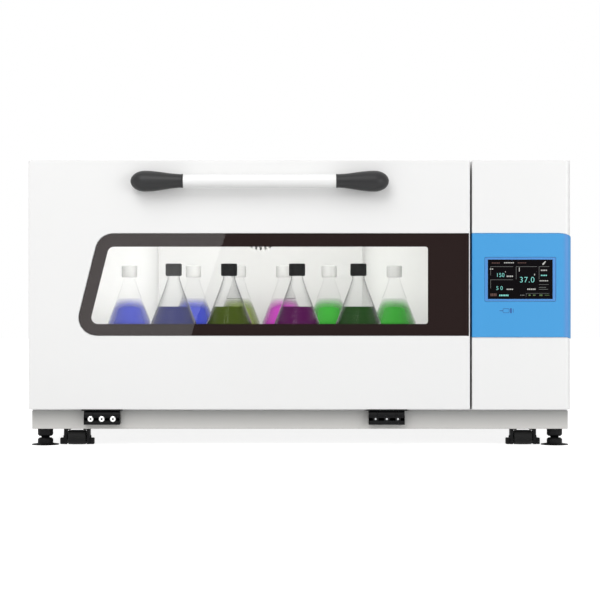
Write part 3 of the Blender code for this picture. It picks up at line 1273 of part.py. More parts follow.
def belt(small):
    """Sweep the ribbed section round the two pulleys."""
    section = [(BELT_BACK, RIM_HEIGHT - PULLEY_MARGIN), (BELT_BACK, PULLEY_MARGIN),
               (BELT_PLAY, PULLEY_MARGIN)]
    half = GROOVE_HALF_WIDTH * (1 - (BELT_PLAY + BELT_TIP_PLAY) / GROOVE_DEPTH)
    for i in range(GROOVES):
        level = PULLEY_MARGIN + (i + 0.5) * GROOVE_PITCH
        section += [(BELT_PLAY, level - half), (BELT_TIP_PLAY - GROOVE_DEPTH, level),
                    (BELT_PLAY, level + half)]
    section.append((BELT_PLAY, RIM_HEIGHT - PULLEY_MARGIN))
    wrap = math.acos((CRANK_PULLEY_RADIUS - small) / BELT_SPAN)
    path = []
    for x, radius, start, sweep, steps in (
            (MIDDLE_X, CRANK_PULLEY_RADIUS, wrap, math.tau - 2 * wrap, 22),
            (MOTOR_X, small, -wrap, 2 * wrap, 10)):
        for step in range(steps + 1):
            angle = start + sweep * step / steps
            path.append(((x, radius), angle))
    bm = bmesh.new()
    rings = []
    for (x, radius), angle in path:
        ring = []
        for out, level in section:
            reach = radius + out
            ring.append(bm.verts.new((x + reach * math.cos(angle),
                                      MIDDLE_Y + reach * math.sin(angle), RIM_BOTTOM + level)))
        rings.append([bm.edges.new((ring[i], ring[(i + 1) % len(ring)]))
                      for i in range(len(ring))])
    for i, ring in enumerate(rings):
        bmesh.ops.bridge_loops(bm, edges=ring + rings[(i + 1) % len(rings)])
    bmesh.ops.recalc_face_normals(bm, faces=bm.faces)
    mesh = bpy.data.meshes.new("drive_belt")
    bm.to_mesh(mesh)
    bm.free()
    return stock("drive_belt", mesh)


def idler_crank(name, x, y, spin):
    """A disc on an idler post with an eccentric pin up into the carrier."""
    low = CRANK_TOP - IDLER_DISC_HEIGHT
    bore = IDLER_PIN_RADIUS + RUNNING
    roof = CRANK_TOP - IDLER_ROOF
    disc = turned(f"idler_crank_{name}", [
        (0, CRANK_TOP), (IDLER_DISC_RADIUS, CRANK_TOP), (IDLER_DISC_RADIUS, low), (bore, low),
        (bore, roof), (0, roof)], (x, y, 0))
    pin = rod("idler_pin", IDLER_PIN_RADIUS, "Z",
              (x + ORBIT_RADIUS, y, CRANK_TOP - IDLER_ROOF / 2),
              (x + ORBIT_RADIUS, y, CRANK_PIN_TOP), ROUND_SMALL)
    node(f"idler_crank_{name}", join(disc, pin), "cast_iron", spin)


# Platform, modelled at the crank's rest position

def platform(orbit):
    """Ribbed carrier, tray and mat."""
    x0, y0 = MIDDLE_X + ORBIT_RADIUS, MIDDLE_Y
    half_x, half_y = CARRIER_WIDTH / 2, CARRIER_DEPTH / 2
    plate_low = CARRIER_TOP - CARRIER_PLATE
    body = plate("platform_carrier", [soft_rectangle((x0 - half_x, x0 + half_x),
                                                     (y0 - half_y, y0 + half_y), TRAY_CORNER)],
                 "XY", (plate_low, CARRIER_TOP))
    rib_low = plate_low - CARRIER_RIB_HEIGHT
    rib_high = plate_low + CARRIER_PLATE / 2
    edge = TRAY_CORNER
    along = [block("rib", (x0 - half_x + edge, x0 + half_x - edge),
                   (y0 + offset - CARRIER_RIB / 2, y0 + offset + CARRIER_RIB / 2),
                   (rib_low, rib_high)) for offset in (-IDLER_Y, 0, IDLER_Y)]
    across = [block("rib", (x0 + offset - CARRIER_RIB / 2, x0 + offset + CARRIER_RIB / 2),
                    (y0 - half_y + edge, y0 + half_y - edge), (rib_low + SEAT, rib_high - SEAT))
              for offset in (-IDLER_X, -IDLER_X / 2, 0, IDLER_X / 2, IDLER_X)]
    hub_low = CRANK_TOP + SEAT
    hubs = [rod("hub", CARRIER_HUB_RADIUS, "Z", (x0, y0, hub_low), (x0, y0, rib_high))]
    bores = [rod("bore", CRANK_PIN_RADIUS + RUNNING, "Z", (x0, y0, hub_low - SEAT),
                 (x0, y0, CRANK_PIN_TOP + SEAT))]
    for name, x, y in idler_places():
        x += ORBIT_RADIUS
        hubs.append(rod("hub", IDLER_HUB_RADIUS, "Z", (x, y, hub_low), (x, y, rib_high),
                        ROUND_SMALL))
        bores.append(rod("bore", IDLER_PIN_RADIUS + RUNNING, "Z", (x, y, hub_low - SEAT),
                         (x, y, CRANK_PIN_TOP + SEAT), ROUND_SMALL))
    join(body, combine("ribs_along", along), combine("ribs_across", across),
         combine("hubs", hubs))
    node("platform_carrier", cut(body, combine("bores", bores)), "aluminium", orbit)

    half_x, half_y = TRAY_WIDTH / 2, TRAY_DEPTH / 2
    x, y = (x0 - half_x, x0 + half_x), (y0 - half_y, y0 + half_y)
    tray = plate("platform_tray", [soft_rectangle(x, y, TRAY_CORNER)], "XY",
                 (TRAY_BOTTOM, TRAY_TOP))
    skirt = plate("tray_skirt", [soft_rectangle(x, y, TRAY_CORNER - SEAT, SEAT),
                                 soft_rectangle(x, y, TRAY_CORNER - FRAME_SHEET, FRAME_SHEET)],
                  "XY", (TRAY_BOTTOM - TRAY_SKIRT, TRAY_BOTTOM + TRAY_SHEET / 2))
    node("platform_tray", join(tray, skirt), "aluminium", orbit)
    mat = plate("platform_mat", [soft_rectangle(x, y, TRAY_CORNER - MAT_INSET, MAT_INSET)], "XY",
                (TRAY_TOP + SEAT, MAT_TOP))
    node("platform_mat", mat, "mat_grey", orbit)


def flask_row(shares):
    """Share a row's free length out between its flasks and give their middles."""
    count = len(shares) - 1
    free = TRAY_WIDTH - 2 * MAT_INSET - count * 2 * FLASK_RADIUS
    place = MIDDLE_X + ORBIT_RADIUS - TRAY_WIDTH / 2 + MAT_INSET
    middles = []
    for share in shares[:-1]:
        place += free * share / sum(shares) + FLASK_RADIUS
        middles.append(place)
        place += FLASK_RADIUS
    return middles


def flask(name, x, y, look, orbit):
    """A conical culture flask with its screw cap on."""
    cap_low = FLASK_HEIGHT - CAP_HEIGHT
    shoulder = cap_low - NECK_HEIGHT
    cone = (FLASK_RADIUS - NECK_RADIUS) / (shoulder - FLASK_WIDEST)
    profile = [(0, FLASK_HEIGHT), (CAP_RADIUS - CAP_EDGE, FLASK_HEIGHT),
               (CAP_RADIUS, FLASK_HEIGHT - CAP_EDGE), (CAP_RADIUS, cap_low),
               (NECK_RADIUS, cap_low), (NECK_RADIUS, shoulder + NECK_BLEND)]
    for drop, slack in ((0.06, 0.35), (0.14, 0.9)):
        level = shoulder - drop * (shoulder - FLASK_WIDEST)
        profile.append((NECK_RADIUS + cone * (shoulder - level) * slack, level))
    profile += [(FLASK_RADIUS - FLASK_FOOT_ROUND / 3, FLASK_WIDEST + FLASK_FOOT_ROUND),
                (FLASK_RADIUS, FLASK_WIDEST), (FLASK_RADIUS - FLASK_FOOT_ROUND / 3,
                                               FLASK_FOOT_ROUND / 2),
                (FLASK_RADIUS - FLASK_FOOT_ROUND, 0), (0, 0)]
    body = turned("flask", profile, (x, y, FLASK_FOOT), steps=ROUND_SMALL)
    node(name, body, look, orbit)


def flasks(orbit):
    """Two rows of flasks standing on the mat."""
    for i, x in enumerate(flask_row(FRONT_SHARES)):
        flask(f"flask_front_{i + 1}", x, MIDDLE_Y + FRONT_ROW_Y, FRONT_CULTURES[i], orbit)
    for i, x in enumerate(flask_row(BACK_SHARES)):
        flask(f"flask_back_{i + 1}", x, MIDDLE_Y + BACK_ROW_Y, BACK_CULTURES[i], orbit)


def main():
    """Build every sub-part."""
    base_frame()
    running_gear()
    cabinet_sheets()
    front_frame()
    chamber_walls()
    column()
    mains_inlet()
    circulation()
    lamp()
    hinge_block("hinge_block_left", 0)
    hinge_block("hinge_block_right", 1)

    swing = pivot("door_axis", (0, HINGE_Y, HINGE_Z))
    door(swing)
    handle(swing)
    hinge_leaf("hinge_leaf_left", 0, swing)
    hinge_leaf("hinge_leaf_right", 1, swing)

    drive_base()
    crank_pulley(pivot("crank_axis", (MIDDLE_X, MIDDLE_Y, BOSS_TOP)))
    motor_and_belt()
    for name, x, y in idler_places():
        idler_crank(name, x, y, pivot(f"idler_axis_{name}", (x, y, CRANK_TOP)))
    orbit = pivot("orbit_axis", (MIDDLE_X + ORBIT_RADIUS, MIDDLE_Y, CRANK_TOP))
    platform(orbit)
    flasks(orbit)


main()
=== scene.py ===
"""Looks of the shaking incubator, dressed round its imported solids.

The front faces -Y and up is +Z. All lengths are in metres.
"""
import json
import logging
import math
from contextlib import contextmanager
from dataclasses import dataclass
from enum import Enum
from typing import Iterator, Sequence

import bmesh
import bpy
from mathutils import Matrix, Vector


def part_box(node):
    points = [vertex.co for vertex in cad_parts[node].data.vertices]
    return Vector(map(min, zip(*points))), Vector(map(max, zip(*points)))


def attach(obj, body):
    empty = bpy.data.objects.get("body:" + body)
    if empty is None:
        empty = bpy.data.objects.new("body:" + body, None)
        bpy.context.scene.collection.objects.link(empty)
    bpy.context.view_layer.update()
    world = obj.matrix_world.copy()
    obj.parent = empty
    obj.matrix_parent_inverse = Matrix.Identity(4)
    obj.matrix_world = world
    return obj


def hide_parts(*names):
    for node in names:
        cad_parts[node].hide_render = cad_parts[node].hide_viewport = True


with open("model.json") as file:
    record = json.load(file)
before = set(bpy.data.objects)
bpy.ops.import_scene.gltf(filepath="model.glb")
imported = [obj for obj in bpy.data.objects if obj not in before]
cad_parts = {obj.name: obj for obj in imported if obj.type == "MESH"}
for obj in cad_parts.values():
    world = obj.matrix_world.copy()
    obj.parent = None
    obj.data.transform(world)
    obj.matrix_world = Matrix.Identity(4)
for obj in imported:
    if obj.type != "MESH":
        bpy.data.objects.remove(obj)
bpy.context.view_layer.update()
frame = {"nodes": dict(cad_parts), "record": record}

log = logging.getLogger("incubator")

Colour = tuple[float, float, float]
Pair = tuple[float, float]
Place = tuple[float, float, float]
Four = tuple[float, float, float, float]

# The photograph's scale at the door's face, and its frame
MM_PER_PIXEL = 2.45
PHOTO_WIDTH = 600
PHOTO_MIDDLE = 300
PHOTO_FLOOR = 446
CAMERA_DISTANCE = 4.5
SENSOR = 36.0


def photo_x(pixel: float) -> float:
    """Give the x of a pixel column on the door's face."""
    return (pixel - PHOTO_MIDDLE) * MM_PER_PIXEL / 1000


def photo_z(pixel: float) -> float:
    """Give the height of a pixel row on the door's face."""
    return (PHOTO_FLOOR - pixel) * MM_PER_PIXEL / 1000


class Body(Enum):
    """The moving bodies that pieces ride on."""

    CABINET = "cabinet"
    DOOR = "door"
    PLATFORM = "platform"


class Signal:
    """A number that varies over a surface and takes ordinary operators."""

    def __init__(self, graph: "Graph", socket: bpy.types.NodeSocket) -> None:
        """Wrap a socket of a graph."""
        self.graph = graph
        self.socket = socket

    def _math(self, operation: str, first: object, second: object) -> "Signal":
        """Add a Math node on two values."""
        node = self.graph.add("ShaderNodeMath", {"operation": operation}, {0: first, 1: second})
        return Signal(self.graph, node.outputs[0])

    def __add__(self, other: object) -> "Signal":
        """Add."""
        return self._math("ADD", self, other)

    __radd__ = __add__

    def __sub__(self, other: object) -> "Signal":
        """Subtract."""
        return self._math("SUBTRACT", self, other)

    def __rsub__(self, other: object) -> "Signal":
        """Subtract from."""
        return self._math("SUBTRACT", other, self)

    def __mul__(self, other: object) -> "Signal":
        """Multiply."""
        return self._math("MULTIPLY", self, other)

    __rmul__ = __mul__

    def __truediv__(self, other: object) -> "Signal":
        """Divide."""
        return self._math("DIVIDE", self, other)

    def __pow__(self, power: float) -> "Signal":
        """Raise to a power."""
        return self._math("POWER", self, power)

    def within(self, low: float = 0.0, high: float = 1.0) -> "Signal":
        """Hold the value between two levels."""
        return self._math("MINIMUM", self._math("MAXIMUM", self, low), high)

    def above(self, level: float) -> "Signal":
        """Give 1 where the value is above a level, and 0 elsewhere."""
        return self._math("GREATER_THAN", self, level)


class Graph:
    """The node tree of one finish, round its Principled BSDF, or of the room."""

    def __init__(self, name: str, world: bpy.types.World | None = None) -> None:
        """Start a material, or the world's light, with its shader."""
        self.material = world or bpy.data.materials.new(name)
        self.material.use_nodes = True
        self.tree = self.material.node_tree
        self.shader = self.tree.nodes["Background" if world else "Principled BSDF"]
        self.output = self.tree.nodes["World Output" if world else "Material Output"]

    def feed(self, socket: bpy.types.NodeSocket, value: object) -> None:
        """Link a socket to a signal or another socket, or set its value."""
        if isinstance(value, Signal):
            self.tree.links.new(value.socket, socket)
        elif isinstance(value, bpy.types.NodeSocket):
            self.tree.links.new(value, socket)
        elif socket.type == "RGBA" and len(value) == 3:
            socket.default_value = (*value, 1.0)
        else:
            socket.default_value = value

    def add(self, kind: str, settings: dict | None = None,
            inputs: dict | None = None) -> bpy.types.Node:
        """Add a node.

        Args:
            kind: the node's type.
            settings: attributes, set before the sockets.
            inputs: values or links of its sockets, by name or number.

        Returns:
            The new node.
        """
        node = self.tree.nodes.new(kind)
        for name, value in (settings or {}).items():
            setattr(node, name, value)
        for name, value in (inputs or {}).items():
            self.feed(node.inputs[name], value)
        return node

    def put(self, **values: object) -> None:
        """Set or link the shader's sockets, named with underscores."""
        for name, value in values.items():
            self.feed(self.shader.inputs[name.replace("_", " ").title()
                                         .replace("Ior", "IOR")], value)

    def point(self, stretch: Place = (1, 1, 1)) -> bpy.types.NodeSocket:
        """Give the place on the piece, stretched by axis."""
        where = self.add("ShaderNodeTexCoord").outputs["Object"]
        if stretch == (1, 1, 1):
            return where
        return self.add("ShaderNodeMapping", None,
                        {"Vector": where, "Scale": stretch}).outputs["Vector"]

    def along(self, axis: str) -> Signal:
        """Give the place along one axis, in metres."""
        split = self.add("ShaderNodeSeparateXYZ", None, {0: self.point()})
        return Signal(self, split.outputs[axis])

    def glance(self) -> Signal:
        """Give 0 where glass faces the view and 1 along its outline."""
        weight = self.add("ShaderNodeLayerWeight", None, {"Blend": 0.5})
        return Signal(self, weight.outputs["Facing"])

    def shown(self) -> Signal:
        """Give 1 to what the camera, a mirror or a glass shows, and 0 to what lights."""
        ray = self.add("ShaderNodeLightPath")
        kinds = [Signal(self, ray.outputs[f"Is {kind} Ray"])
                 for kind in ("Camera", "Glossy", "Transmission")]
        return (kinds[0] + kinds[1] + kinds[2]).within()

    def noise(self, scale: float, detail: float = 2.0, stretch: Place = (1, 1, 1)) -> Signal:
        """Give a soft noise from 0 to 1, with scale in cells for each metre."""
        node = self.add("ShaderNodeTexNoise", None,
                        {"Vector": self.point(stretch), "Scale": scale, "Detail": detail})
        return Signal(self, node.outputs["Fac"])

    def blend(self, factor: object, first: object, second: object) -> bpy.types.NodeSocket:
        """Mix two colours."""
        node = self.add("ShaderNodeMix", {"data_type": "RGBA"},
                        {"Factor": factor, 6: first, 7: second})
        return node.outputs[2]

    def relief(self, height: Signal, depth: float) -> None:
        """Raise the surface by a height signal over a depth."""
        bump = self.add("ShaderNodeBump", None, {"Distance": depth, "Height": height})
        self.feed(self.shader.inputs["Normal"], bump.outputs["Normal"])

    def mixed(self, factor: object, first: bpy.types.Node, second: bpy.types.Node) -> bpy.types.Node:
        """Mix two shaders."""
        return self.add("ShaderNodeMixShader", None,
                        {0: factor, 1: first.outputs[0], 2: second.outputs[0]})

    def end(self, shader: bpy.types.Node) -> bpy.types.Material:
        """Make a shader the material's surface."""
        self.tree.links.new(shader.outputs[0], self.output.inputs["Surface"])
        return self.material


def shade(colour: Colour, factor: float) -> Colour:
    """Give a darker or lighter form of a colour."""
    return tuple(min(1.0, part * factor) for part in colour)


# Cells of the orange peel in each metre of paint
PEEL_CELLS = 420.0


class Finish:
    """A look that builds its own material."""

    def make(self, name: str) -> bpy.types.Material:
        """Build the material."""
        graph = Graph(name)
        self.fill(graph)
        return graph.material

    def fill(self, graph: Graph) -> None:
        """Lay out the material's nodes."""
        raise NotImplementedError


@dataclass(frozen=True)
class Enamel(Finish):
    """Sprayed and baked paint with a fine orange peel."""

    colour: Colour
    roughness: float = 0.34
    peel: float = 0.00006

    def fill(self, graph: Graph) -> None:
        """Lay out the paint's nodes."""
        cloud = graph.noise(2.5)
        peel = graph.noise(PEEL_CELLS, 3.0)
        graph.put(base_color=graph.blend(cloud, shade(self.colour, 0.985), self.colour),
                  roughness=cloud * 0.06 + peel * 0.04 + (self.roughness - 0.05))
        graph.relief(peel, self.peel)


@dataclass(frozen=True)
class ShadedEdge(Finish):
    """Blue paint that turns darker and more violet along the cover's bent right edge, as painted shade
    of the rounded corner.
    """

    colour: Colour
    edge: Colour
    start: float
    end: float
    soft: float = 0.008

    def fill(self, graph: Graph) -> None:
        """Lay out the paint's nodes."""
        across = graph.along("X")
        rise = ((across - self.start) / self.soft).within()
        fall = ((self.end - across) / self.soft).within()
        peel = graph.noise(PEEL_CELLS, 3.0)
        # The edge colour across the rounded corner is painted shade
        graph.put(base_color=graph.blend(rise * fall, self.colour, self.edge),
                  roughness=peel * 0.05 + 0.37)
        graph.relief(peel, 0.00004)


@dataclass(frozen=True)
class Moulded(Finish):
    """Moulded plastic, rubber or powder coat with a spark-eroded grain."""

    colour: Colour
    roughness: float = 0.42
    grain: float = 0.00008
    shine: float = 0.5

    def fill(self, graph: Graph) -> None:
        """Lay out the plastic's nodes."""
        grain = graph.noise(1500.0, 4.0)
        flow = graph.noise(14.0)
        graph.put(base_color=graph.blend(flow, shade(self.colour, 0.90), self.colour),
                  roughness=grain * 0.10 + flow * 0.05 + (self.roughness - 0.07),
                  specular_ior_level=self.shine)
        graph.relief(grain, self.grain)


@dataclass(frozen=True)
class Metal(Finish):
    """Brushed, plated or cast metal; stretch lays its brush lines."""

    colour: Colour
    roughness: float = 0.30
    stretch: Place = (4, 400, 400)
    depth: float = 0.00002
    metallic: float = 1.0

    def fill(self, graph: Graph) -> None:
        """Lay out the metal's nodes."""
        lines = graph.noise(2.0, 3.0, self.stretch)
        bloom = graph.noise(5.0)
        graph.put(base_color=graph.blend(bloom, shade(self.colour, 0.93), self.colour),
                  roughness=lines * 0.14 + bloom * 0.06 + (self.roughness - 0.10),
                  metallic=self.metallic)
        graph.relief(lines, self.depth)


@dataclass(frozen=True)
class Plinth(Finish):
    """Satin grey coat of the plinth, with painted shade: darker towards the top, where the door
    overhangs it.
    """

    # low is the paler colour at the bottom level and high the darker one at the top level, as painted
    # shade
    low: Colour
    high: Colour
    bottom: float
    top: float

    def fill(self, graph: Graph) -> None:
        """Lay out the coat's nodes."""
        # Painted shade: the colour darkens with height, standing for the door's shadow over the plinth's
        # top
        height = (graph.along("Z") - self.bottom) * (1 / (self.top - self.bottom))
        lines = graph.noise(2.0, 2.0, (6, 300, 300))
        graph.put(base_color=graph.blend(height.within(), self.low, self.high),
                  roughness=lines * 0.12 + 0.34, metallic=0.15)
        graph.relief(lines, 0.00002)


@dataclass(frozen=True)
class Pane(Finish):
    """Clear glass: it lets light through, mirrors, and darkens along its outline.

    Faces with y above coated_from carry a coat that doesn't mirror. The rim's tint comes in
    with the power rim_power of the glance.
    """

    tint: Colour = (0.985, 0.985, 0.98)
    rim: Colour = (0.80, 0.88, 0.85)
    mirror: float = 0.04
    roughness: float = 0.015
    rim_power: float = 4.0
    coated_from: float = 10.0

    def fill(self, graph: Graph) -> None:
        """Lay out the glass's nodes."""
        glance = graph.glance()
        smear = graph.noise(7.0)
        clear = graph.add("ShaderNodeBsdfTransparent", None, {"Color": self.tint})
        thick = graph.add("ShaderNodeBsdfTransparent", None, {"Color": self.rim})
        gloss = graph.add("ShaderNodeBsdfGlossy", None, {"Roughness": self.roughness})
        bare = 1 - graph.along("Y").above(self.coated_from)
        film = (smear * 0.004 + (self.mirror - 0.002)) * bare
        wall = graph.mixed(glance ** self.rim_power, clear, thick)
        graph.end(graph.mixed((glance ** 5.0 * 0.9 + film).within(), wall, gloss))


@dataclass(frozen=True)
class Ink(Finish):
    """Flat printing, on a painted cover or fused to the back of the glass."""

    colour: Colour
    cells: float = 1200.0
    dark: float = 0.85
    spread: float = 0.0
    shine: float = 0.5

    def fill(self, graph: Graph) -> None:
        """Lay out the ink's nodes."""
        speck = graph.noise(self.cells)
        graph.put(base_color=graph.blend(speck, shade(self.colour, self.dark), self.colour),
                  roughness=speck * self.spread + 0.5, specular_ior_level=self.shine)


@dataclass(frozen=True)
class Culture(Finish):
    """Coloured liquid; a thin one lets light through along its outline and its top."""

    colour: Colour
    thin: bool = False
    fade_from: float = 0.334
    fade: float = 0.030

    def fill(self, graph: Graph) -> None:
        """Lay out the liquid's nodes."""
        swirl = graph.noise(14.0, 3.0)
        graph.put(base_color=graph.blend(swirl, shade(self.colour, 0.82), self.colour),
                  roughness=0.16, ior=1.33, specular_ior_level=0.2)
        if self.thin:
            high = ((graph.along("Z") - self.fade_from) / self.fade).within()
            edge = graph.glance() ** 1.1
            water = graph.add("ShaderNodeBsdfTransparent", None, {"Color": (1, 1, 1)})
            loss = 1 - (1 - edge) * (1 - high)
            graph.end(graph.mixed(loss.within(), graph.shader, water))


@dataclass(frozen=True)
class Glow(Finish):
    """A lit mark on the display, or the lamp's diffuser."""

    colour: Colour
    strength: float = 1.0

    def fill(self, graph: Graph) -> None:
        """Lay out the light's nodes."""
        ripple = graph.noise(600.0)
        graph.put(base_color=(0.02, 0.02, 0.02), roughness=0.4,
                  emission_color=graph.blend(ripple, shade(self.colour, 0.85), self.colour),
                  emission_strength=self.strength)


FINISHES: dict[str, Finish] = {
    "white_enamel": Enamel((0.885, 0.885, 0.880)),
    # The plinth's finish paints the door's shadow as shade: its top colour is darker
    "grey_enamel": Plinth((0.60, 0.59, 0.57), (0.38, 0.38, 0.37), 0.043, 0.085),
    "blue_plastic": Enamel((0.052, 0.360, 0.780), 0.40, 0.00004),
    # Painted shade: the fascia's right edge takes a darker, more violet blue
    "blue_painted_edge_shade": ShadedEdge((0.046, 0.337, 0.722), (0.080, 0.285, 0.660), 0.6435, 0.6630),
    "black_plastic": Moulded((0.019, 0.019, 0.020), 0.42, shine=0.34),
    "black_enamel": Moulded((0.005, 0.005, 0.0055), 0.50, shine=0.13),
    "white_bar": Enamel((0.90, 0.90, 0.895), 0.20, 0.00002),
    "stainless": Enamel((0.83, 0.83, 0.82), 0.30, 0.00003),
    "pale_steel": Enamel((0.91, 0.91, 0.90), 0.30, 0.00003),
    # The duct cover's steel is the liner's steel made darker, as painted shade against the lamp's
    # stronger light on it
    "duct_steel_painted_shade": Enamel((0.68, 0.68, 0.67), 0.30, 0.00003),
    "aluminium": Metal((0.74, 0.75, 0.76), 0.40),
    "cast_iron": Metal((0.10, 0.10, 0.10), 0.60, (60, 60, 60), 0.0002, 0.5),
    "rubber": Moulded((0.007, 0.007, 0.007), 0.60, 0.00012, shine=0.18),
    "clear_glass": Pane(coated_from=-0.3535),
    "foam": Moulded((0.78, 0.74, 0.58), 0.85, 0.0006),
    "screen": Moulded((0.003, 0.002, 0.003), 0.16, 0.00001, 0.15),
    "board": Moulded((0.020, 0.160, 0.060), 0.45),
    "lamp": Glow((1.0, 0.99, 0.96), 1.6),
    "mat_grey": Moulded((0.16, 0.17, 0.18), 0.74, 0.0002),
    "blue_culture": Culture((0.0028, 0.0050, 0.064)),
    "olive_culture": Culture((0.0245, 0.0395, 0.0015)),
    "purple_culture": Culture((0.037, 0.0004, 0.0325)),
    "green_culture": Culture((0.0048, 0.0255, 0.0025)),
    "magenta_culture": Culture((0.36, 0.03, 0.32), True),
    "thin_blue": Culture((0.030, 0.045, 0.36), True),
    "thin_olive": Culture((0.15, 0.20, 0.04), True),
    "thin_green": Culture((0.030, 0.27, 0.025), True),
    "flask_wall": Pane((0.998, 1.0, 1.0), (0.10, 0.10, 0.11), 0.008, 0.03, 2.4),
    "thin_wall": Pane((0.995, 0.995, 0.995), (0.93, 0.93, 0.93), 0.004, 0.10, 4.0),
    "frit": Ink((0.0205, 0.0100, 0.0092), 260.0, 0.92, 0.05, 0.0),
    "cap": Moulded((0.006, 0.006, 0.0065), 0.45, shine=0.12),
    "pale_cap": Moulded((0.50, 0.50, 0.49), 0.50),
    "rim_blue": Enamel((0.075, 0.285, 0.690), 0.34, 0.00003),
    "teal_light": Glow((0.22, 0.76, 0.68), 1.0),
    "white_light": Glow((0.58, 0.58, 0.55), 0.9),
    "grey_light": Glow((0.20, 0.21, 0.20), 0.7),
    "red_light": Glow((0.13, 0.035, 0.020), 0.7),
    "green_light": Glow((0.13, 0.25, 0.06), 0.7),
    "dark_ink": Ink((0.015, 0.06, 0.30)),
    "bright_zinc": Metal((0.85, 0.85, 0.84), 0.30, (40, 40, 40)),
    "dull_zinc": Metal((0.55, 0.56, 0.57), 0.36),
}
_made: dict[str, bpy.types.Material] = {}


def finish(name: str) -> bpy.types.Material:
    """Give a finish's material, built once."""
    if name not in _made:
        _made[name] = FINISHES[name].make(name)
    return _made[name]


# Angles from which an edge shows as a crease and from which a fold is rounded
CREASE = math.radians(35)
SHARP = math.radians(40)
# An angle under which two faces are one flat face
FLAT = math.radians(0.5)
# Points closer than this are one: along a profile, in a copied mesh, in a turned and in a lofted one
CHAIN_WELD = 0.000001
WELD = 0.000002
TURNED_WELD = 0.000005
LOFT_WELD = 0.00001
# A digit's height and the thinning of its strokes, as shares of the type's size
DIGIT_SHARE = 0.72
DIGIT_THINNING = 0.009


class Bench:
    """Modelling steps on one piece at a time, as by hand."""

    @staticmethod
    def clear() -> None:
        """Leave edit mode and deselect everything."""
        if bpy.context.object and bpy.context.object.mode != "OBJECT":
            bpy.ops.object.mode_set(mode="OBJECT")
        bpy.ops.object.select_all(action="DESELECT")

    @classmethod
    def pick(cls, obj: bpy.types.Object) -> bpy.types.Object:
        """Select one piece alone."""
        cls.clear()
        obj.select_set(True)
        bpy.context.view_layer.objects.active = obj
        return obj

    @classmethod
    @contextmanager
    def editing(cls, obj: bpy.types.Object) -> Iterator[None]:
        """Open a piece in edit mode with all of it selected."""
        cls.pick(obj)
        bpy.ops.object.mode_set(mode="EDIT")
        bpy.ops.mesh.select_all(action="SELECT")
        yield
        bpy.ops.object.mode_set(mode="OBJECT")

    @staticmethod
    def linked(name: str, data: bpy.types.ID) -> bpy.types.Object:
        """Put an object with some data into the scene."""
        obj = bpy.data.objects.new(name, data)
        bpy.context.scene.collection.objects.link(obj)
        return obj

    @staticmethod
    def settle(obj: bpy.types.Object, name: str) -> bpy.types.Object:
        """Name a piece and put its place into its mesh."""
        obj.data.transform(obj.matrix_basis)
        obj.matrix_basis = Matrix.Identity(4)
        obj.name = name
        obj.data.name = name
        return obj

    @classmethod
    def lathe(cls, name: str, profile: Sequence[Pair], place: Place, axis: str = "Z",
              steps: int = 48) -> bpy.types.Object:
        """Spin a chain of (radius, height) points round an axis.

        Args:
            name: the piece's name.
            profile: points down the outer side; radius 0 at both ends closes the piece,
                and any other profile closes on itself.
            place: where the axis stands.
            axis: the axis's letter; heights run along it.
            steps: facets of a full turn.

        Returns:
            The turned piece.
        """
        cls.clear()
        radius, height = profile[0]
        chain = [*profile[1:], profile[0]] if radius > 0 else profile[1:]
        bpy.ops.mesh.primitive_plane_add(size=0.001, location=(0, 0, 0))
        obj = bpy.context.object
        with cls.editing(obj):
            bpy.ops.mesh.merge(type="CENTER")
            bpy.ops.transform.translate(value=(radius, 0, height))
            for r, h in chain:
                bpy.ops.mesh.extrude_region_move(
                    TRANSFORM_OT_translate={"value": (r - radius, 0, h - height)})
                radius, height = r, h
            bpy.ops.mesh.select_all(action="SELECT")
            bpy.ops.mesh.remove_doubles(threshold=CHAIN_WELD)
            bpy.ops.mesh.spin(steps=steps, angle=math.tau, center=(0, 0, 0), axis=(0, 0, 1))
            bpy.ops.mesh.select_all(action="SELECT")
            bpy.ops.mesh.remove_doubles(threshold=TURNED_WELD)
            bpy.ops.mesh.normals_make_consistent(inside=False)
        bpy.ops.object.shade_smooth_by_angle(angle=CREASE)
        turn = {"X": Matrix.Rotation(math.pi / 2, 4, "Y"),
                "Y": Matrix.Rotation(-math.pi / 2, 4, "X"),
                "Z": Matrix.Identity(4)}[axis]
        obj.matrix_basis = Matrix.Translation(place) @ turn
        return cls.settle(obj, name)

    @classmethod
    def panel(cls, name: str, outlines: Sequence[Sequence[Pair]], front: float,
              back: float) -> bpy.types.Object:
        """Fill front-view outlines, holes after the outside, between two depths."""
        curve = bpy.data.curves.new(name, "CURVE")
        curve.dimensions = "2D"
        curve.fill_mode = "BOTH"
        curve.extrude = (back - front) / 2
        for outline in outlines:
            spline = curve.splines.new("POLY")
            spline.points.add(len(outline) - 1)
            for point, (x, z) in zip(spline.points, outline):
                point.co = (x, z, 0, 1)
            spline.use_cyclic_u = True
        obj = cls.linked(name, curve)
        obj.matrix_basis = (Matrix.Translation((0, (front + back) / 2, 0))
                            @ Matrix.Rotation(math.pi / 2, 4, "X"))
        return cls.to_mesh(obj, name)

    @classmethod
    def to_mesh(cls, obj: bpy.types.Object, name: str) -> bpy.types.Object:
        """Convert a curve or text to a welded mesh in place."""
        cls.pick(obj)
        bpy.ops.object.convert(target="MESH")
        obj = bpy.context.object
        with cls.editing(obj):
            bpy.ops.mesh.remove_doubles(threshold=WELD)
            bpy.ops.mesh.normals_make_consistent(inside=False)
        return cls.settle(obj, name)

    @classmethod
    def digits(cls, name: str, text: str, corner: Pair, height: float,
               front: float) -> bpy.types.Object:
        """Write plain numbers on the front plane, from their lower left corner."""
        cls.clear()
        bpy.ops.object.text_add(location=(corner[0], front, corner[1]),
                                rotation=(math.pi / 2, 0, 0))
        obj = bpy.context.object
        obj.data.body = text
        obj.data.size = height / DIGIT_SHARE
        obj.data.offset = -DIGIT_THINNING * obj.data.size
        obj.data.space_character = 1.12 if "." in text else 1.0
        obj.data.extrude = 0.00005
        return cls.to_mesh(obj, name)

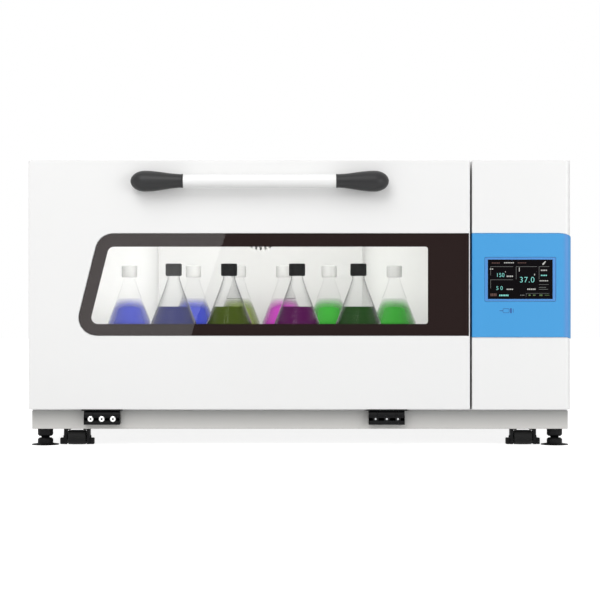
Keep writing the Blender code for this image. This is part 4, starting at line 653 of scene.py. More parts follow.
    @classmethod
    def taken(cls, node: str, name: str, whole: bool = True) -> bpy.types.Object:
        """Copy a solid of the frame, welded, and where asked with its flat faces whole."""
        obj = cls.linked(name, frame["nodes"][node].data.copy())
        obj.data.materials.clear()
        with cls.editing(obj):
            bpy.ops.mesh.remove_doubles(threshold=WELD)
            if whole:
                bpy.ops.mesh.dissolve_limited(angle_limit=FLAT)
        return cls.settle(obj, name)

    @classmethod
    def topped(cls, obj: bpy.types.Object, level: float) -> bpy.types.Object:
        """Cut a piece at a level, close the cut and keep what lies above."""
        with cls.editing(obj):
            bpy.ops.mesh.bisect(plane_co=(0, 0, level), plane_no=(0, 0, 1), use_fill=True,
                                clear_inner=True)
        return obj

    @classmethod
    def crossed(cls, obj: bpy.types.Object, x: float) -> None:
        """Add a loop of points to a piece at one x."""
        with cls.editing(obj):
            bpy.ops.mesh.bisect(plane_co=(x, 0, 0), plane_no=(1, 0, 0))

    @classmethod
    def block(cls, name: str, low: Place, high: Place, radius: float) -> bpy.types.Object:
        """Make a block between two corners and round all its edges."""
        cls.clear()
        bpy.ops.mesh.primitive_cube_add(size=1.0, location=(Vector(low) + Vector(high)) / 2)
        obj = bpy.context.object
        obj.scale = Vector(high) - Vector(low)
        with cls.editing(cls.settle(obj, name)):
            bpy.ops.mesh.bevel(offset=radius, offset_type="OFFSET", segments=3, affect="EDGES")
        return cls.smoothed(obj)

    @classmethod
    def folded(cls, obj: bpy.types.Object, radius: float,
               open_sides: str = "") -> bpy.types.Object:
        """Round the sharp outer edges of a piece.

        Args:
            obj: the piece.
            radius: the rounding's width.
            open_sides: sides such as "y+" that keep sharp edges.

        Returns:
            The same piece, smoothly shaded.
        """
        near = 0.00008
        shape = bmesh.new()
        shape.from_mesh(obj.data)
        low = [min(vert.co[i] for vert in shape.verts) for i in range(3)]
        high = [max(vert.co[i] for vert in shape.verts) for i in range(3)]
        sides = {f"{axis}{sign}": (i, level[i]) for i, axis in enumerate("xyz")
                 for sign, level in (("-", low), ("+", high))}
        for part in (shape.verts, shape.edges, shape.faces):
            for item in part:
                item.select = False
        for edge in shape.edges:
            if len(edge.link_faces) != 2 or not edge.is_convex:
                continue
            if edge.calc_face_angle() < SHARP:
                continue
            on = {side for side, (i, level) in sides.items()
                  if all(abs(vert.co[i] - level) < near for vert in edge.verts)}
            if on and not any(side in open_sides.split() for side in on):
                edge.select = True
        shape.select_flush(False)
        shape.to_mesh(obj.data)
        shape.free()
        cls.pick(obj)
        bpy.context.tool_settings.mesh_select_mode = (False, True, False)
        bpy.ops.object.mode_set(mode="EDIT")
        bpy.ops.mesh.bevel(offset=radius, offset_type="OFFSET", segments=3, affect="EDGES",
                           clamp_overlap=False)
        bpy.context.tool_settings.mesh_select_mode = (True, False, False)
        return cls.smoothed(obj)

    @classmethod
    def smoothed(cls, obj: bpy.types.Object) -> bpy.types.Object:
        """Shade a piece smoothly and keep its flat faces flat."""
        cls.pick(obj)
        bpy.ops.object.shade_smooth_by_angle(angle=CREASE)
        even = obj.modifiers.new("even", "WEIGHTED_NORMAL")
        even.keep_sharp = True
        bpy.ops.object.modifier_apply(modifier=even.name)
        return obj

    @classmethod
    def join(cls, name: str, parts: Sequence[bpy.types.Object]) -> bpy.types.Object:
        """Join pieces into one, each keeping its finish."""
        cls.clear()
        for part in parts:
            part.select_set(True)
        bpy.context.view_layer.objects.active = parts[0]
        bpy.ops.object.join()
        return cls.settle(bpy.context.object, name)


def rounded(corners: Sequence[Pair], radii: Sequence[float], steps: int = 10) -> list[Pair]:
    """Turn a polygon's corners into arcs.

    Args:
        corners: the polygon's corners in order.
        radii: a radius for each corner, 0 for a sharp one.
        steps: steps of each arc.

    Returns:
        The outline's points.
    """
    outline: list[Pair] = []
    for i, corner in enumerate(corners):
        here = Vector(corner)
        if radii[i] <= 0:
            outline.append(tuple(here))
            continue
        back = (Vector(corners[i - 1]) - here).normalized()
        ahead = (Vector(corners[(i + 1) % len(corners)]) - here).normalized()
        half = back.angle(ahead) / 2
        centre = here + (back + ahead).normalized() * radii[i] / math.sin(half)
        start = here + back * radii[i] / math.tan(half) - centre
        end = here + ahead * radii[i] / math.tan(half) - centre
        first = math.atan2(start.y, start.x)
        sweep = math.remainder(math.atan2(end.y, end.x) - first, math.tau)
        for step in range(steps + 1):
            angle = first + sweep * step / steps
            outline.append((centre.x + radii[i] * math.cos(angle),
                            centre.y + radii[i] * math.sin(angle)))
    return outline


def rectangle(left: float, right: float, bottom: float, top: float,
              radius: float = 0.0) -> list[Pair]:
    """Give a rectangle's outline, with equal round corners."""
    corners = [(left, bottom), (right, bottom), (right, top), (left, top)]
    return rounded(corners, [radius] * 4, 6) if radius > 0 else corners


def slot_of(node: str) -> str:
    """Give the record's material slot of a CAD node."""
    return next(row["material_slot"] for row in frame["record"]["subparts"]
                if row["node"] == node)


def body_of(node: str) -> str:
    """Give the moving body that a CAD node belongs to."""
    bodies = frame["record"]["behaviour"]["bodies"]
    return next(name for name, nodes in bodies.items() if node in nodes)


def dress(obj: bpy.types.Object, look: str, body: Body | str, *replaced: str,
          slot: str | None = None) -> bpy.types.Object:
    """Give a piece its finish and its place in the frame.

    Args:
        obj: the piece.
        look: its finish, unless it has one.
        body: the body that it rides on.
        replaced: CAD nodes that it stands for.
        slot: not used.

    Returns:
        The same piece.
    """
    if not obj.data.materials:
        obj.data.materials.append(finish(look))
    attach(obj, body.value if isinstance(body, Body) else body)
    if replaced:
        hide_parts(*replaced)
    log.info("piece %s rides on %s", obj.name, body)
    return obj


def stand_in(obj: bpy.types.Object, node: str, look: str = "") -> bpy.types.Object:
    """Let a piece stand for a CAD node, on its body, with the finish named by its slot if no other is
    given.
    """
    slot = slot_of(node)
    return dress(obj, look or slot, body_of(node), node, slot=slot)


def see_through(glass: bpy.types.Object) -> None:
    """Let soft light pass a clear piece without counting its faces."""
    glass.visible_shadow = False
    glass.visible_diffuse = False


@dataclass
class Studio:
    """Floor, lights, camera and the cards that the window mirrors."""

    camera_height: float = photo_z(PHOTO_MIDDLE)
    face: float = -0.355
    floor_size: float = 24.0
    floor_drop: float = 0.0002
    floor_white: float = 0.84
    room_level: float = 0.60
    key: float = 112.0
    fill: float = 35.0
    top: float = 4.0
    roof: float = 2.75
    front: float = 2.05
    pale: float = 2.10
    dark: float = 0.26

    def build(self) -> None:
        """Set up everything that isn't part of the object."""
        self.camera()
        self.floor()
        self.lights()
        self.cards()

    def camera(self) -> None:
        """Place the camera where the photograph was taken."""
        data = bpy.data.cameras.new("camera")
        data.sensor_width = SENSOR
        data.lens = SENSOR * CAMERA_DISTANCE / (PHOTO_WIDTH * MM_PER_PIXEL / 1000)
        camera = Bench.linked("camera", data)
        camera.location = (0, self.face - CAMERA_DISTANCE, self.camera_height)
        camera.rotation_euler = (math.pi / 2, 0, 0)
        bpy.context.scene.camera = camera

    def floor(self) -> None:
        """Lay a pale floor that is white to the camera and keeps the shadow."""
        Bench.clear()
        bpy.ops.mesh.primitive_plane_add(size=self.floor_size, location=(0, 0, -self.floor_drop))
        floor = bpy.context.object
        floor.name = "floor"
        graph = Graph("floor")
        graph.put(base_color=(0.62, 0.62, 0.62), roughness=0.8, specular_ior_level=0.0,
                  emission_color=graph.blend(graph.shown() * self.floor_white, (0, 0, 0), (1, 1, 1)),
                  emission_strength=1.0)
        floor.data.materials.append(graph.material)

    def lights(self) -> None:
        """Hang soft boxes in front and above, and light the room evenly."""
        world = bpy.data.worlds.new("room")
        graph = Graph("room", world)
        graph.feed(graph.shader.inputs["Color"], (1, 1, 1))
        graph.feed(graph.shader.inputs["Strength"],
                   graph.shown() * (1 - self.room_level) + self.room_level)
        bpy.context.scene.world = world
        for name, place, aim, size, power in (
                ("key", (-1.3, -4.2, 3.6), (0, -0.3, 0.35), 3.2, self.key),
                ("fill", (2.5, -3.4, 0.6), (0.1, -0.3, 0.3), 2.0, self.fill),
                ("top", (0, 0.2, 3.2), (0, 0, 0.5), 2.2, self.top)):
            self.lamp(name, place, aim, (size, size), power)
        low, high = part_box("chamber_liner")
        middle = (low + high) / 2
        wide = (high.x - low.x) * 0.90
        for name, place, aim, tall, power in (
                ("chamber_roof", (middle.x, middle.y - 0.08, high.z - 0.03),
                 (middle.x, middle.y + 0.02, low.z), 0.30, self.roof),
                ("chamber_front", (middle.x - 0.05, low.y + 0.02, middle.z + 0.03),
                 (middle.x - 0.10, high.y, middle.z + 0.03), 0.40, self.front)):
            self.lamp(name, place, aim, (wide, tall), power).visible_glossy = False
        bpy.context.scene.view_settings.view_transform = "Standard"

    @staticmethod
    def lamp(name: str, place: Place, aim: Place, size: Pair, power: float) -> bpy.types.Object:
        """Hang a soft box of some width and length, turned to its aim."""
        data = bpy.data.lights.new(name, "AREA")
        data.shape = "RECTANGLE"
        data.size, data.size_y = size
        data.energy = power
        lamp = Bench.linked(name, data)
        lamp.location = place
        lamp.rotation_euler = (Vector(aim) - Vector(place)).to_track_quat("-Z", "Y").to_euler()
        return lamp

    def cards(self) -> None:
        """Hang a pale and a dark card, seen only in the window's mirror."""
        depth = self.face - 2.0
        left, right, bottom, top = -0.95, 1.05, -0.10, 0.98
        # Two points of the slanted line where the cards meet
        (x1, z1), (x2, z2) = (-0.263, 0.593), (-0.3855, 0.231)
        lean = (x1 - x2) / (z1 - z2)
        high, low = x1 + (top - z1) * lean, x2 + (bottom - z2) * lean
        pale = [(left, bottom), (low, bottom), (high, top), (left, top)]
        dark = [(low, bottom), (right, bottom), (right, top), (high, top)]
        for name, outline, strength in (("pale_card", pale, self.pale), ("dark_card", dark, self.dark)):
            card = Bench.panel(name, [outline], depth - 0.005, depth)
            graph = Graph(name)
            glow = graph.add("ShaderNodeEmission", None, {"Color": (1, 1, 1), "Strength": strength})
            card.data.materials.append(graph.end(glow))
            for ray in ("camera", "diffuse", "shadow", "transmission"):
                setattr(card, f"visible_{ray}", False)


@dataclass
class Window:
    """Black border printed behind the outer glass."""

    lean: float = math.radians(14.1)
    left: float = -0.5557
    corner: float = 0.045
    band: Four = (0.0315, 0.100, 0.0287, 0.0327)
    corner_left: float = 0.016
    corner_right: float = 0.0065
    inset: float = 0.0006
    ink: Pair = (0.00005, 0.00020)

    def build(self) -> None:
        """Print the border and clear the field."""
        low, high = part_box("window_outer_glass")
        outer = self.outline(self.left + self.inset, high.x - self.inset, low.z,
                             high.z - self.inset, low.z, (self.corner, 0, 0, self.corner))
        left, right, bottom, top = self.band
        step = left / math.cos(self.lean)
        inner = self.outline(self.left + step, high.x - right, low.z + bottom, high.z - top,
                             low.z, (self.corner_left, self.corner_right, self.corner_right,
                                     self.corner_left))
        near, far = self.ink
        border = Bench.panel("window_border", [outer, inner], high.y + near, high.y + far)
        dress(border, "frit", Body.DOOR)
        for node in ("window_outer_glass", "window_inner_glass"):
            pane = Bench.taken(node, f"{node}_pane")
            see_through(pane)
            stand_in(pane, node)

    def outline(self, left: float, right: float, bottom: float, top: float, base: float,
                radii: Sequence[float]) -> list[Pair]:
        """Give a leaning outline; left is its x at the base level."""
        slope = math.tan(self.lean)
        return rounded([(left + (bottom - base) * slope, bottom), (right, bottom), (right, top),
                        (left + (top - base) * slope, top)], radii)


@dataclass
class Handle:
    """Glossy bar between two swelling end caps."""

    edge: float = 0.0008
    lip: float = 0.0005
    nose: float = 0.035
    taper_steps: int = 14
    nose_steps: int = 10
    crease: float = math.radians(50)

    def build(self) -> None:
        """Replace the bar and both caps with finer ones."""
        low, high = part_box("handle_bar")
        radius = (high.z - low.z) / 2
        middle = tuple((low + high) / 2)
        half, edge, bore = (high.x - low.x) / 2, self.edge, radius * 0.8
        bar = Bench.lathe("bar", [(radius - edge, half), (radius, half - edge),
                                  (radius, edge - half), (radius - edge, -half),
                                  (bore, -half), (bore, half)], middle, "X", 72)
        stand_in(bar, "handle_bar")
        for name, side in (("left", 1), ("right", -1)):
            self.cap(name, side, middle, radius, half)

    def cap(self, name: str, side: int, bar: Place, radius: float, half: float) -> None:
        """Loft one cap from the bar's end to its round nose."""
        low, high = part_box(f"handle_end_{name}")
        bar_end = bar[0] - side * half
        outer = low.x if side > 0 else high.x
        length = abs(bar_end - outer)
        tall = (high.z - low.z) / 2
        deep = (high.y - low.y) / 2
        Bench.clear()
        bpy.ops.mesh.primitive_circle_add(vertices=48, radius=1.0, fill_type="NOTHING",
                                          rotation=(0, math.pi / 2, 0))
        obj = Bench.settle(bpy.context.object, f"handle_cap_{name}")
        stations = self.stations(length, radius, tall, deep, bar[1], (low.y + high.y) / 2)
        x, y, height, depth = stations[0]
        with Bench.editing(obj):
            bpy.ops.transform.resize(value=(1, depth, height), center_override=(0, 0, 0))
            bpy.ops.transform.translate(value=(bar_end - side * x, y, bar[2]))
            for x2, y2, height2, depth2 in stations[1:]:
                bpy.ops.mesh.extrude_region_move(
                    TRANSFORM_OT_translate={"value": (-side * (x2 - x), y2 - y, 0)})
                bpy.ops.transform.resize(value=(1, depth2 / depth, height2 / height),
                                         center_override=(bar_end - side * x2, y2, bar[2]))
                x, y, height, depth = x2, y2, height2, depth2
            bpy.ops.mesh.edge_face_add()
            bpy.ops.mesh.select_all(action="SELECT")
            bpy.ops.mesh.remove_doubles(threshold=LOFT_WELD)
            bpy.ops.mesh.normals_make_consistent(inside=False)
        bpy.ops.object.shade_smooth_by_angle(angle=self.crease)
        stand_in(obj, f"handle_end_{name}")

    def stations(self, length: float, neck: float, tall: float, deep: float, bar_y: float,
                 cap_y: float) -> list[Four]:
        """Give (distance, depth place, half height, half depth) from the bar outwards."""
        lip = self.lip
        found = [(0.0, bar_y, neck - lip, neck - lip), (lip, bar_y, neck + lip, neck)]
        taper = length - self.nose
        for step in range(1, self.taper_steps + 1):
            share = step / self.taper_steps
            ease = (1 - math.cos(math.pi * share)) / 2
            found.append((taper * share, bar_y + (cap_y - bar_y) * ease,
                          neck + (tall - neck) * ease, neck + (deep - neck) * ease))
        # The last ring stays a little open, and one face closes it
        for step in range(1, self.nose_steps + 1):
            angle = math.pi / 2 * step / (self.nose_steps + 0.4)
            found.append((taper + self.nose * math.sin(angle), cap_y, tall * math.cos(angle),
                          deep * math.cos(angle)))
        return found


@dataclass
class Flask:
    """One capped culture flask: wall, liquid and ribbed cap.

    The wall is widest at the heel's height and runs as a cone to the shoulder under its neck.
    """

    level: float = 0.3405
    back_level: float = 0.3620
    wall: float = 0.0022
    neck: float = 0.0155
    heel: float = 0.011
    cap_radius: float = 0.02075
    cap_height: float = 0.0316
    rib_count: int = 60

    def build(self, node: str) -> None:
        """Stand a finer flask where the solid one stands."""
        low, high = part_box(node)
        x, y, _ = (low + high) / 2
        radius = (high.x - low.x) / 2
        behind = "back" in node
        cap_low = high.z - low.z - self.cap_height
        shoulder = cap_low - 0.011
        neck, heel, cone, foot = self.neck, self.heel, radius - 0.003, self.heel + 0.010
        slope = (cone - neck) / (shoulder - foot)
        outer = [(0.0, 0.0006), (radius * 0.5, 0.0004), (radius - 0.010, 0.0), (radius - 0.005, 0.001),
                 (radius - 0.0015, 0.004), (radius, heel * 0.8), (radius - 0.0006, heel + 0.004),
                 (cone, foot)]
        for share in (0.25, 0.5, 0.75, 0.88, 0.95):
            z = foot + share * (shoulder - foot)
            ease = 0.0016 * max(0.0, share - 0.8) / 0.2
            outer.append((cone - slope * (z - foot) + ease, z))
        outer += [(neck + 0.0006, shoulder + 0.002), (neck, shoulder + 0.006), (neck, cap_low + 0.004),
                  (0.0, cap_low + 0.004)]
        surface = (self.back_level if behind else self.level) - low.z
        gap = 0.0 if behind else self.wall
        end = cone - slope * (surface - foot) - gap
        inner = [(max(0.0, r - gap), z + (gap if r < radius - 0.004 and z < 0.01 else 0))
                 for r, z in outer if z < surface]
        if behind:
            outer = [(0.0, surface + 0.0006), (end, surface + 0.0006),
                     *[point for point in outer if point[1] > surface + 0.001]]
        body = Bench.lathe(f"{node}_wall", [*reversed(outer)], (x, y, low.z))
        see_through(body)
        dress(body, "thin_wall" if behind else "flask_wall", Body.PLATFORM, node)
        liquid = [(0.0, surface - 0.0006), (end - 0.002, surface - 0.0006), (end, surface + 0.0004),
                  *reversed(inner)]
        slot = slot_of(node)
        thin = {"blue_culture": "thin_blue", "olive_culture": "thin_olive",
                "green_culture": "thin_green"}
        pool = Bench.lathe(f"{node}_liquid", liquid, (x, y, low.z))
        dress(pool, thin.get(slot, slot) if behind else slot, Body.PLATFORM, slot=slot)
        self.cap(node, (x, y, low.z + cap_low))

    def cap(self, node: str, place: Place) -> None:
        """Turn a screw cap and raise its grip ribs."""
        radius, height = self.cap_radius, self.cap_height
        steps = self.rib_count * 2
        profile = [(0.0, height - 0.0008), (radius * 0.72, height - 0.0008), (radius * 0.76, height),
                   (radius - 0.002, height), (radius - 0.0004, height - 0.0014),
                   (radius - 0.0004, 0.0025), (radius - 0.0010, 0.0022), (radius - 0.0010, 0.0),
                   (0.0150, 0.0), (0.0, 0.0)]
        cap = Bench.lathe(f"{node}_cap", profile, (0, 0, 0), steps=steps)
        mesh = cap.data
        for vert in mesh.vertices:
            reach = math.hypot(vert.co.x, vert.co.y)
            if reach > radius - 0.0008 and vert.co.z > 0.0024:
                turn = round(math.atan2(vert.co.y, vert.co.x) * steps / math.tau) % 2
                swell = 1 + (0.0004 if turn else -0.0003) / reach
                vert.co.x *= swell
                vert.co.y *= swell
        mesh.transform(Matrix.Translation(place))
        dress(cap, "pale_cap" if "back" in node else "cap", Body.PLATFORM)


@dataclass
class Display:
    """Numbers, frames and marks on the touch screen, and the mark under it."""

    lift: float = 0.00012
    side_margin: float = 0.0081
    level_margin: float = 0.0061
    glass_depth: float = 0.0010
    cell: float = 0.0042
    cell_gap: float = 0.28
    thick: float = 0.015

    def __post_init__(self) -> None:
        """Find the lit field inside the screen's frame."""
        self.low, self.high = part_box("touch_screen")
        self.left, self.right = self.low.x + self.side_margin, self.high.x - self.side_margin
        self.bottom, self.top = self.low.z + self.level_margin, self.high.z - self.level_margin
        self.front = self.low.y + self.glass_depth

    def build(self) -> None:
        """Light the screen's marks."""
        for name, text, u, v, tall in (("speed", "150", 0.125, 0.44, 0.105),
                                       ("humidity", "5 0", 0.125, 0.77, 0.100),
                                       ("temperature", "37.0", 0.487, 0.58, 0.148)):
            mark = Bench.digits(f"display_{name}", text, self.at(u, v),
                                tall * (self.top - self.bottom), self.front - self.lift)
            dress(mark, "teal_light", Body.CABINET)
        self.marks("white", (
            (0.25, 0.41, 0.065, 0.090), (0.29, 0.395, 0.405, 0.440), (0.29, 0.395, 0.74, 0.77),
            (0.61, 0.745, 0.735, 0.770), (0.82, 0.92, 0.255, 0.285), (0.80, 0.94, 0.525, 0.55),
            (0.48, 0.492, 0.20, 0.30), (0.265, 0.278, 0.30, 0.32), (0.715, 0.728, 0.36, 0.40),
            (0.03, 0.09, 0.225, 0.250)))
        self.marks("grey", (
            (0.04, 0.39, 0.172, 0.180), (0.04, 0.045, 0.18, 0.40), (0.04, 0.39, 0.508, 0.516),
            (0.04, 0.045, 0.516, 0.73), (0.435, 0.76, 0.172, 0.180), (0.435, 0.440, 0.18, 0.50),
            (0.79, 0.95, 0.172, 0.180), (0.79, 0.795, 0.18, 0.50), (0.50, 0.57, 0.895, 0.915),
            (0.59, 0.594, 0.86, 0.94), (0.59, 0.95, 0.855, 0.861), (0.79, 0.94, 0.63, 0.637),
            (0.79, 0.90, 0.70, 0.71), (0.79, 0.93, 0.75, 0.76)))
        self.marks("teal", ((0.82, 0.92, 0.385, 0.415), (0.175, 0.325, 0.89, 0.93)))
        self.marks("red", ((0.06, 0.19, 0.07, 0.095), (0.46, 0.60, 0.07, 0.09),
                           (0.04, 0.14, 0.86, 0.93)))
        self.marks("green", ((0.63, 0.66, 0.89, 0.92), (0.70, 0.74, 0.89, 0.92),
                             (0.80, 0.85, 0.885, 0.925), (0.88, 0.95, 0.90, 0.91)))
        self.pencil()
        self.plug()
        inset, low, high = 0.0004, self.low, self.high
        rim = Bench.panel("screen_rim", [
            rectangle(low.x + inset, high.x - inset, low.z + inset, high.z - inset, 0.0022),
            rectangle(self.left - inset, self.right + inset, self.bottom - inset, self.top + inset)],
            low.y - 0.0002, low.y - 0.00002)
        dress(rim, "rim_blue", Body.CABINET)

    def at(self, u: float, v: float) -> Pair:
        """Give the place of a share across and down the screen."""
        return (self.left + u * (self.right - self.left), self.top - v * (self.top - self.bottom))

    def marks(self, name: str, boxes: Sequence[Four]) -> None:
        """Light bars from u to u and from v to v; wide thick ones are rows of short blocks."""
        parts = []
        for u0, u1, v0, v1 in boxes:
            (left, top), (right, bottom) = self.at(u0, v0), self.at(u1, v1)
            count = max(1, round((right - left) / self.cell)) if v1 - v0 > self.thick else 1
            step = (right - left) / count
            gap = step * self.cell_gap if count > 1 else 0.0
            for i in range(count):
                block = rectangle(left + i * step, left + (i + 1) * step - gap, bottom, top)
                parts.append(Bench.panel("bar", [block], self.front - self.lift,
                                         self.front - self.lift * 0.2))
        dress(Bench.join(f"display_{name}", parts), f"{name}_light", Body.CABINET)

    def pencil(self) -> None:
        """Light the small slanted mark at the screen's upper right."""
        x, z = self.at(0.87, 0.09)
        size = self.cell
        outline = [(x - size, z - size), (x - size * 0.2, z - size * 0.9), (x + size * 1.1, z + size),
                   (x + size * 0.7, z + size * 1.3), (x - size * 0.9, z - size * 0.1)]
        mark = Bench.panel("display_pencil", [outline], self.front - self.lift, self.front)
        dress(mark, "white_light", Body.CABINET)

    def plug(self) -> None:
        """Print the small plug sign on the blue cover."""
        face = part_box("control_fascia")[0].y
        z = photo_z(310.7)
        x = photo_x(499.3)
        thin = 0.0004
        line = [(x, z - thin), (x + 0.008, z - 0.0010), (x + 0.008, z + 0.0010), (x, z + thin)]
        body = rectangle(x + 0.0085, x + 0.0245, z - 0.0055, z + 0.0055, 0.0030)
        hollow = rectangle(x + 0.0095, x + 0.0235, z - 0.0045, z + 0.0045, 0.0022)
        bar = rectangle(x + 0.0265, x + 0.0300, z - 0.0060, z + 0.0060)
        pins = rectangle(x + 0.0335, x + 0.0345, z - 0.0048, z + 0.0048)
        parts = [Bench.panel("ink", outlines, face - 0.00015, face - 0.00002)
                 for outlines in ([line], [body, hollow], [bar], [pins])]
        dress(Bench.join("plug_sign", parts), "dark_ink", Body.CABINET)


@dataclass(frozen=True)
class Fold:
    """How a piece's outer edges are rounded, and the sides that stay sharp."""

    radius: float
    open_sides: str = ""
    pierced: bool = False


@dataclass
class Covers:
    """Folded sheets and cast blocks, taken from the solids, most with their edges rounded and the
    pierced ones smoothly shaded.
    """

    swoop_width: float = 0.036
    swoop_drop: float = 0.0105
    hook_width: float = 0.016
    hook_drop: float = 0.0040
    reach: float = 0.004

    def build(self) -> None:
        """Round the edges of the unpierced covers, smooth the pierced ones, and curve the right corners
        of the blue cover and the column covers.
        """
        folds = {
            "left_side_panel": Fold(0.0006), "top_cover": Fold(0.0012, "z- y-"),
            "column_upper_cover": Fold(0.0010, "y+"),
            "control_fascia": Fold(0.0, pierced=True),
            "column_lower_cover": Fold(0.0010, "y+"),
            "door_outer_skin": Fold(0.0, pierced=True),
            "hinge_block_left": Fold(0.0010), "hinge_block_right": Fold(0.0010),
            "platform_tray": Fold(0.0, pierced=True), "interior_lamp": Fold(0.0008),
        }
        fascia_low, fascia_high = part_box("control_fascia")
        for node, fold in folds.items():
            cover = Bench.taken(node, f"{node}_folded", not fold.pierced)
            if node in ("column_upper_cover", "control_fascia", "column_lower_cover"):
                self.curve(cover, fascia_low, fascia_high)
            if fold.radius > 0:
                Bench.folded(cover, fold.radius, fold.open_sides)
            else:
                Bench.smoothed(cover)
            stand_in(cover, node, "blue_painted_edge_shade" if node == "control_fascia" else "")

    def curve(self, cover: bpy.types.Object, low: Vector, high: Vector) -> None:
        """Lower the corners at the column's right edge along a quarter ellipse and a hook."""
        for share in (1.0, 0.88, 0.76, 0.66, 0.58, 0.50, 0.42):
            Bench.crossed(cover, high.x - self.swoop_width * share)
        for vert in cover.data.vertices:
            share = (vert.co.x - high.x + self.swoop_width) / self.swoop_width
            if abs(vert.co.z - high.z) < self.reach and share > 0:
                vert.co.z -= self.swoop_drop * (1 - math.sqrt(max(0.0, 1 - share * share)))
            share = (vert.co.x - high.x + self.hook_width) / self.hook_width
            if abs(vert.co.z - low.z) < self.reach and share > 0:
                vert.co.z -= self.hook_drop * share * share


@dataclass
class Base:
    """Plinth pan, caster forks, wheels and levelling feet."""

    pan_bottom: float = 0.0400
    pan_gap: float = 0.0003
    thread_pitch: float = 0.0015
    bore: float = 0.0053
    leaf_gap: float = 0.004

    def build(self) -> None:
        """Split the welded base by its finish, and turn its wheels and feet."""
        pan = Bench.topped(Bench.taken("base_frame", "plinth_pan"), self.pan_bottom - 0.0002)
        stand_in(Bench.folded(pan, 0.0012, "z-"), "base_frame")
        self.sill()
        for corner in ("front_left", "front_right", "rear_left", "rear_right"):
            self.fork(corner)
            self.wheel(corner)
            self.foot(corner)

    def sill(self) -> None:
        """Lay bump strips on the plinth, under the door and clear of the hinge leaves."""
        low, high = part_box("base_frame")
        door_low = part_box("door_outer_skin")[0]
        gap = self.leaf_gap
        (left_0, left_1), (right_0, right_1) = (
            [corner.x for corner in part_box(f"hinge_leaf_{side}")] for side in ("left", "right"))
        spans = [(low.x + 0.0015, left_0 - gap), (left_1 + gap, right_0 - gap),
                 (right_1 + gap, high.x - 0.0015)]
        strips = [Bench.block(f"sill_{i}", (start, low.y + 0.0008, high.z + 0.0001),
                              (end, low.y + 0.020, door_low.z - 0.0007), 0.0008)
                  for i, (start, end) in enumerate(spans)]
        # The strips are white rather than the plinth's grey so that they stay pale in the door's shadow:
        # painted light against that shade
        dress(Bench.join("sill_strips", strips), "white_enamel", Body.CABINET)

    def fork(self, corner: str) -> None:
        """Build a caster's flanges, side plates, axle nuts and low brake blocks."""
        low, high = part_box(f"caster_wheel_{corner}")
        x, y, z = (low + high) / 2
        half = (high.x - low.x) / 2
        inner, outer, reach = half + 0.0022, half + 0.0100, half + 0.0200
        top = self.pan_bottom - self.pan_gap
        deep = 0.013
        parts = []
        for side in (-1, 1):
            for start, end, width, bottom, level, radius in (
                    (inner, outer, deep, 0.0016, top, 0.0012),
                    (outer - 0.0010, reach, 0.009, 0.0014, 0.0172, 0.0020),
                    (half - 0.0060, outer, deep, top - 0.0026, top, 0.0006)):
                near, far = sorted((x + side * start, x + side * end))
                parts.append(Bench.block("part", (near, y - width, bottom),
                                         (far, y + width, level), radius))
            nut = [(0.0, side * -0.0005), (self.bore, side * -0.0005), (self.bore, side * 0.0018),
                   (self.bore - 0.0006, side * 0.0024), (0.0, side * 0.0024)]
            parts.append(Bench.lathe("part", nut, (x + side * outer, y, z), "X", 6))
            pin = [(0.0, 0.0), (self.bore - 0.0005, 0.0), (self.bore - 0.0005, side * (inner + 0.001)),
                   (0.0, side * (inner + 0.001))]
            parts.append(Bench.lathe("part", pin, (x, y, z), "X", 24))
        dress(Bench.join(f"caster_fork_{corner}", parts), "black_enamel", Body.CABINET)

    def wheel(self, corner: str) -> None:
        """Turn a barrel wheel with a hub recess in each side."""
        node = f"caster_wheel_{corner}"
        low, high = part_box(node)
        middle = tuple((low + high) / 2)
        radius, half = (high.z - low.z) / 2, (high.x - low.x) / 2
        shoulder = [(radius * 0.40, half), (radius * 0.44, half - 0.0020),
                    (radius * 0.66, half - 0.0020), (radius * 0.70, half),
                    (radius - 0.0014, half), (radius - 0.0005, half - 0.0009),
                    (radius - 0.0003, half - 0.0050), (radius - 0.0001, half - 0.0090),
                    (radius, half - 0.0120)]
        profile = [(self.bore, half), *shoulder]
        profile += [(r, -h) for r, h in reversed(profile)]
        wheel = Bench.lathe(f"wheel_{corner}", profile, middle, "X", 64)
        stand_in(wheel, node)

    def foot(self, corner: str) -> None:
        """Turn a levelling foot with its threaded stem."""
        node = f"levelling_foot_{corner}"
        low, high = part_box(node)
        disc = (high.x - low.x) / 2
        collar, neck, stem = 0.0190, 0.0105, 0.0060
        lower = (0.0037, 0.0171)
        upper = (0.0218, self.pan_bottom - self.pan_gap)
        top = high.z - low.z
        soft = 0.0008
        profile = [(0.0, top), (stem - soft, top), (stem, top - soft), (stem, upper[1]),
                   (collar - soft, upper[1]), (collar, upper[1] - soft), (collar, upper[0] + 0.0034),
                   (collar - 0.0034, upper[0]), (neck + 0.0004, upper[0])]
        count = int((upper[0] - lower[1]) / self.thread_pitch)
        for turn in range(count):
            level = upper[0] - (turn + 0.5) * self.thread_pitch
            profile += [(neck - 0.0005, level + self.thread_pitch * 0.25),
                        (neck + 0.0003, level - self.thread_pitch * 0.25)]
        profile += [(neck, lower[1]), (collar - 0.0034, lower[1]), (collar - 0.0003, lower[1] - 0.0030),
                    (collar, lower[1] - 0.0040), (collar, lower[0] + 0.0012),
                    (collar + 0.0012, lower[0]), (disc - 0.0010, 0.0019), (disc, 0.0012),
                    (disc, 0.0004), (disc - 0.0004, 0.0), (disc * 0.8, 0.0), (disc * 0.78, 0.0008),
                    (0.0, 0.0008)]
        foot = Bench.lathe(f"foot_{corner}", profile,
                           ((low.x + high.x) / 2, (low.y + high.y) / 2, low.z), "Z", 64)
        stand_in(foot, node)


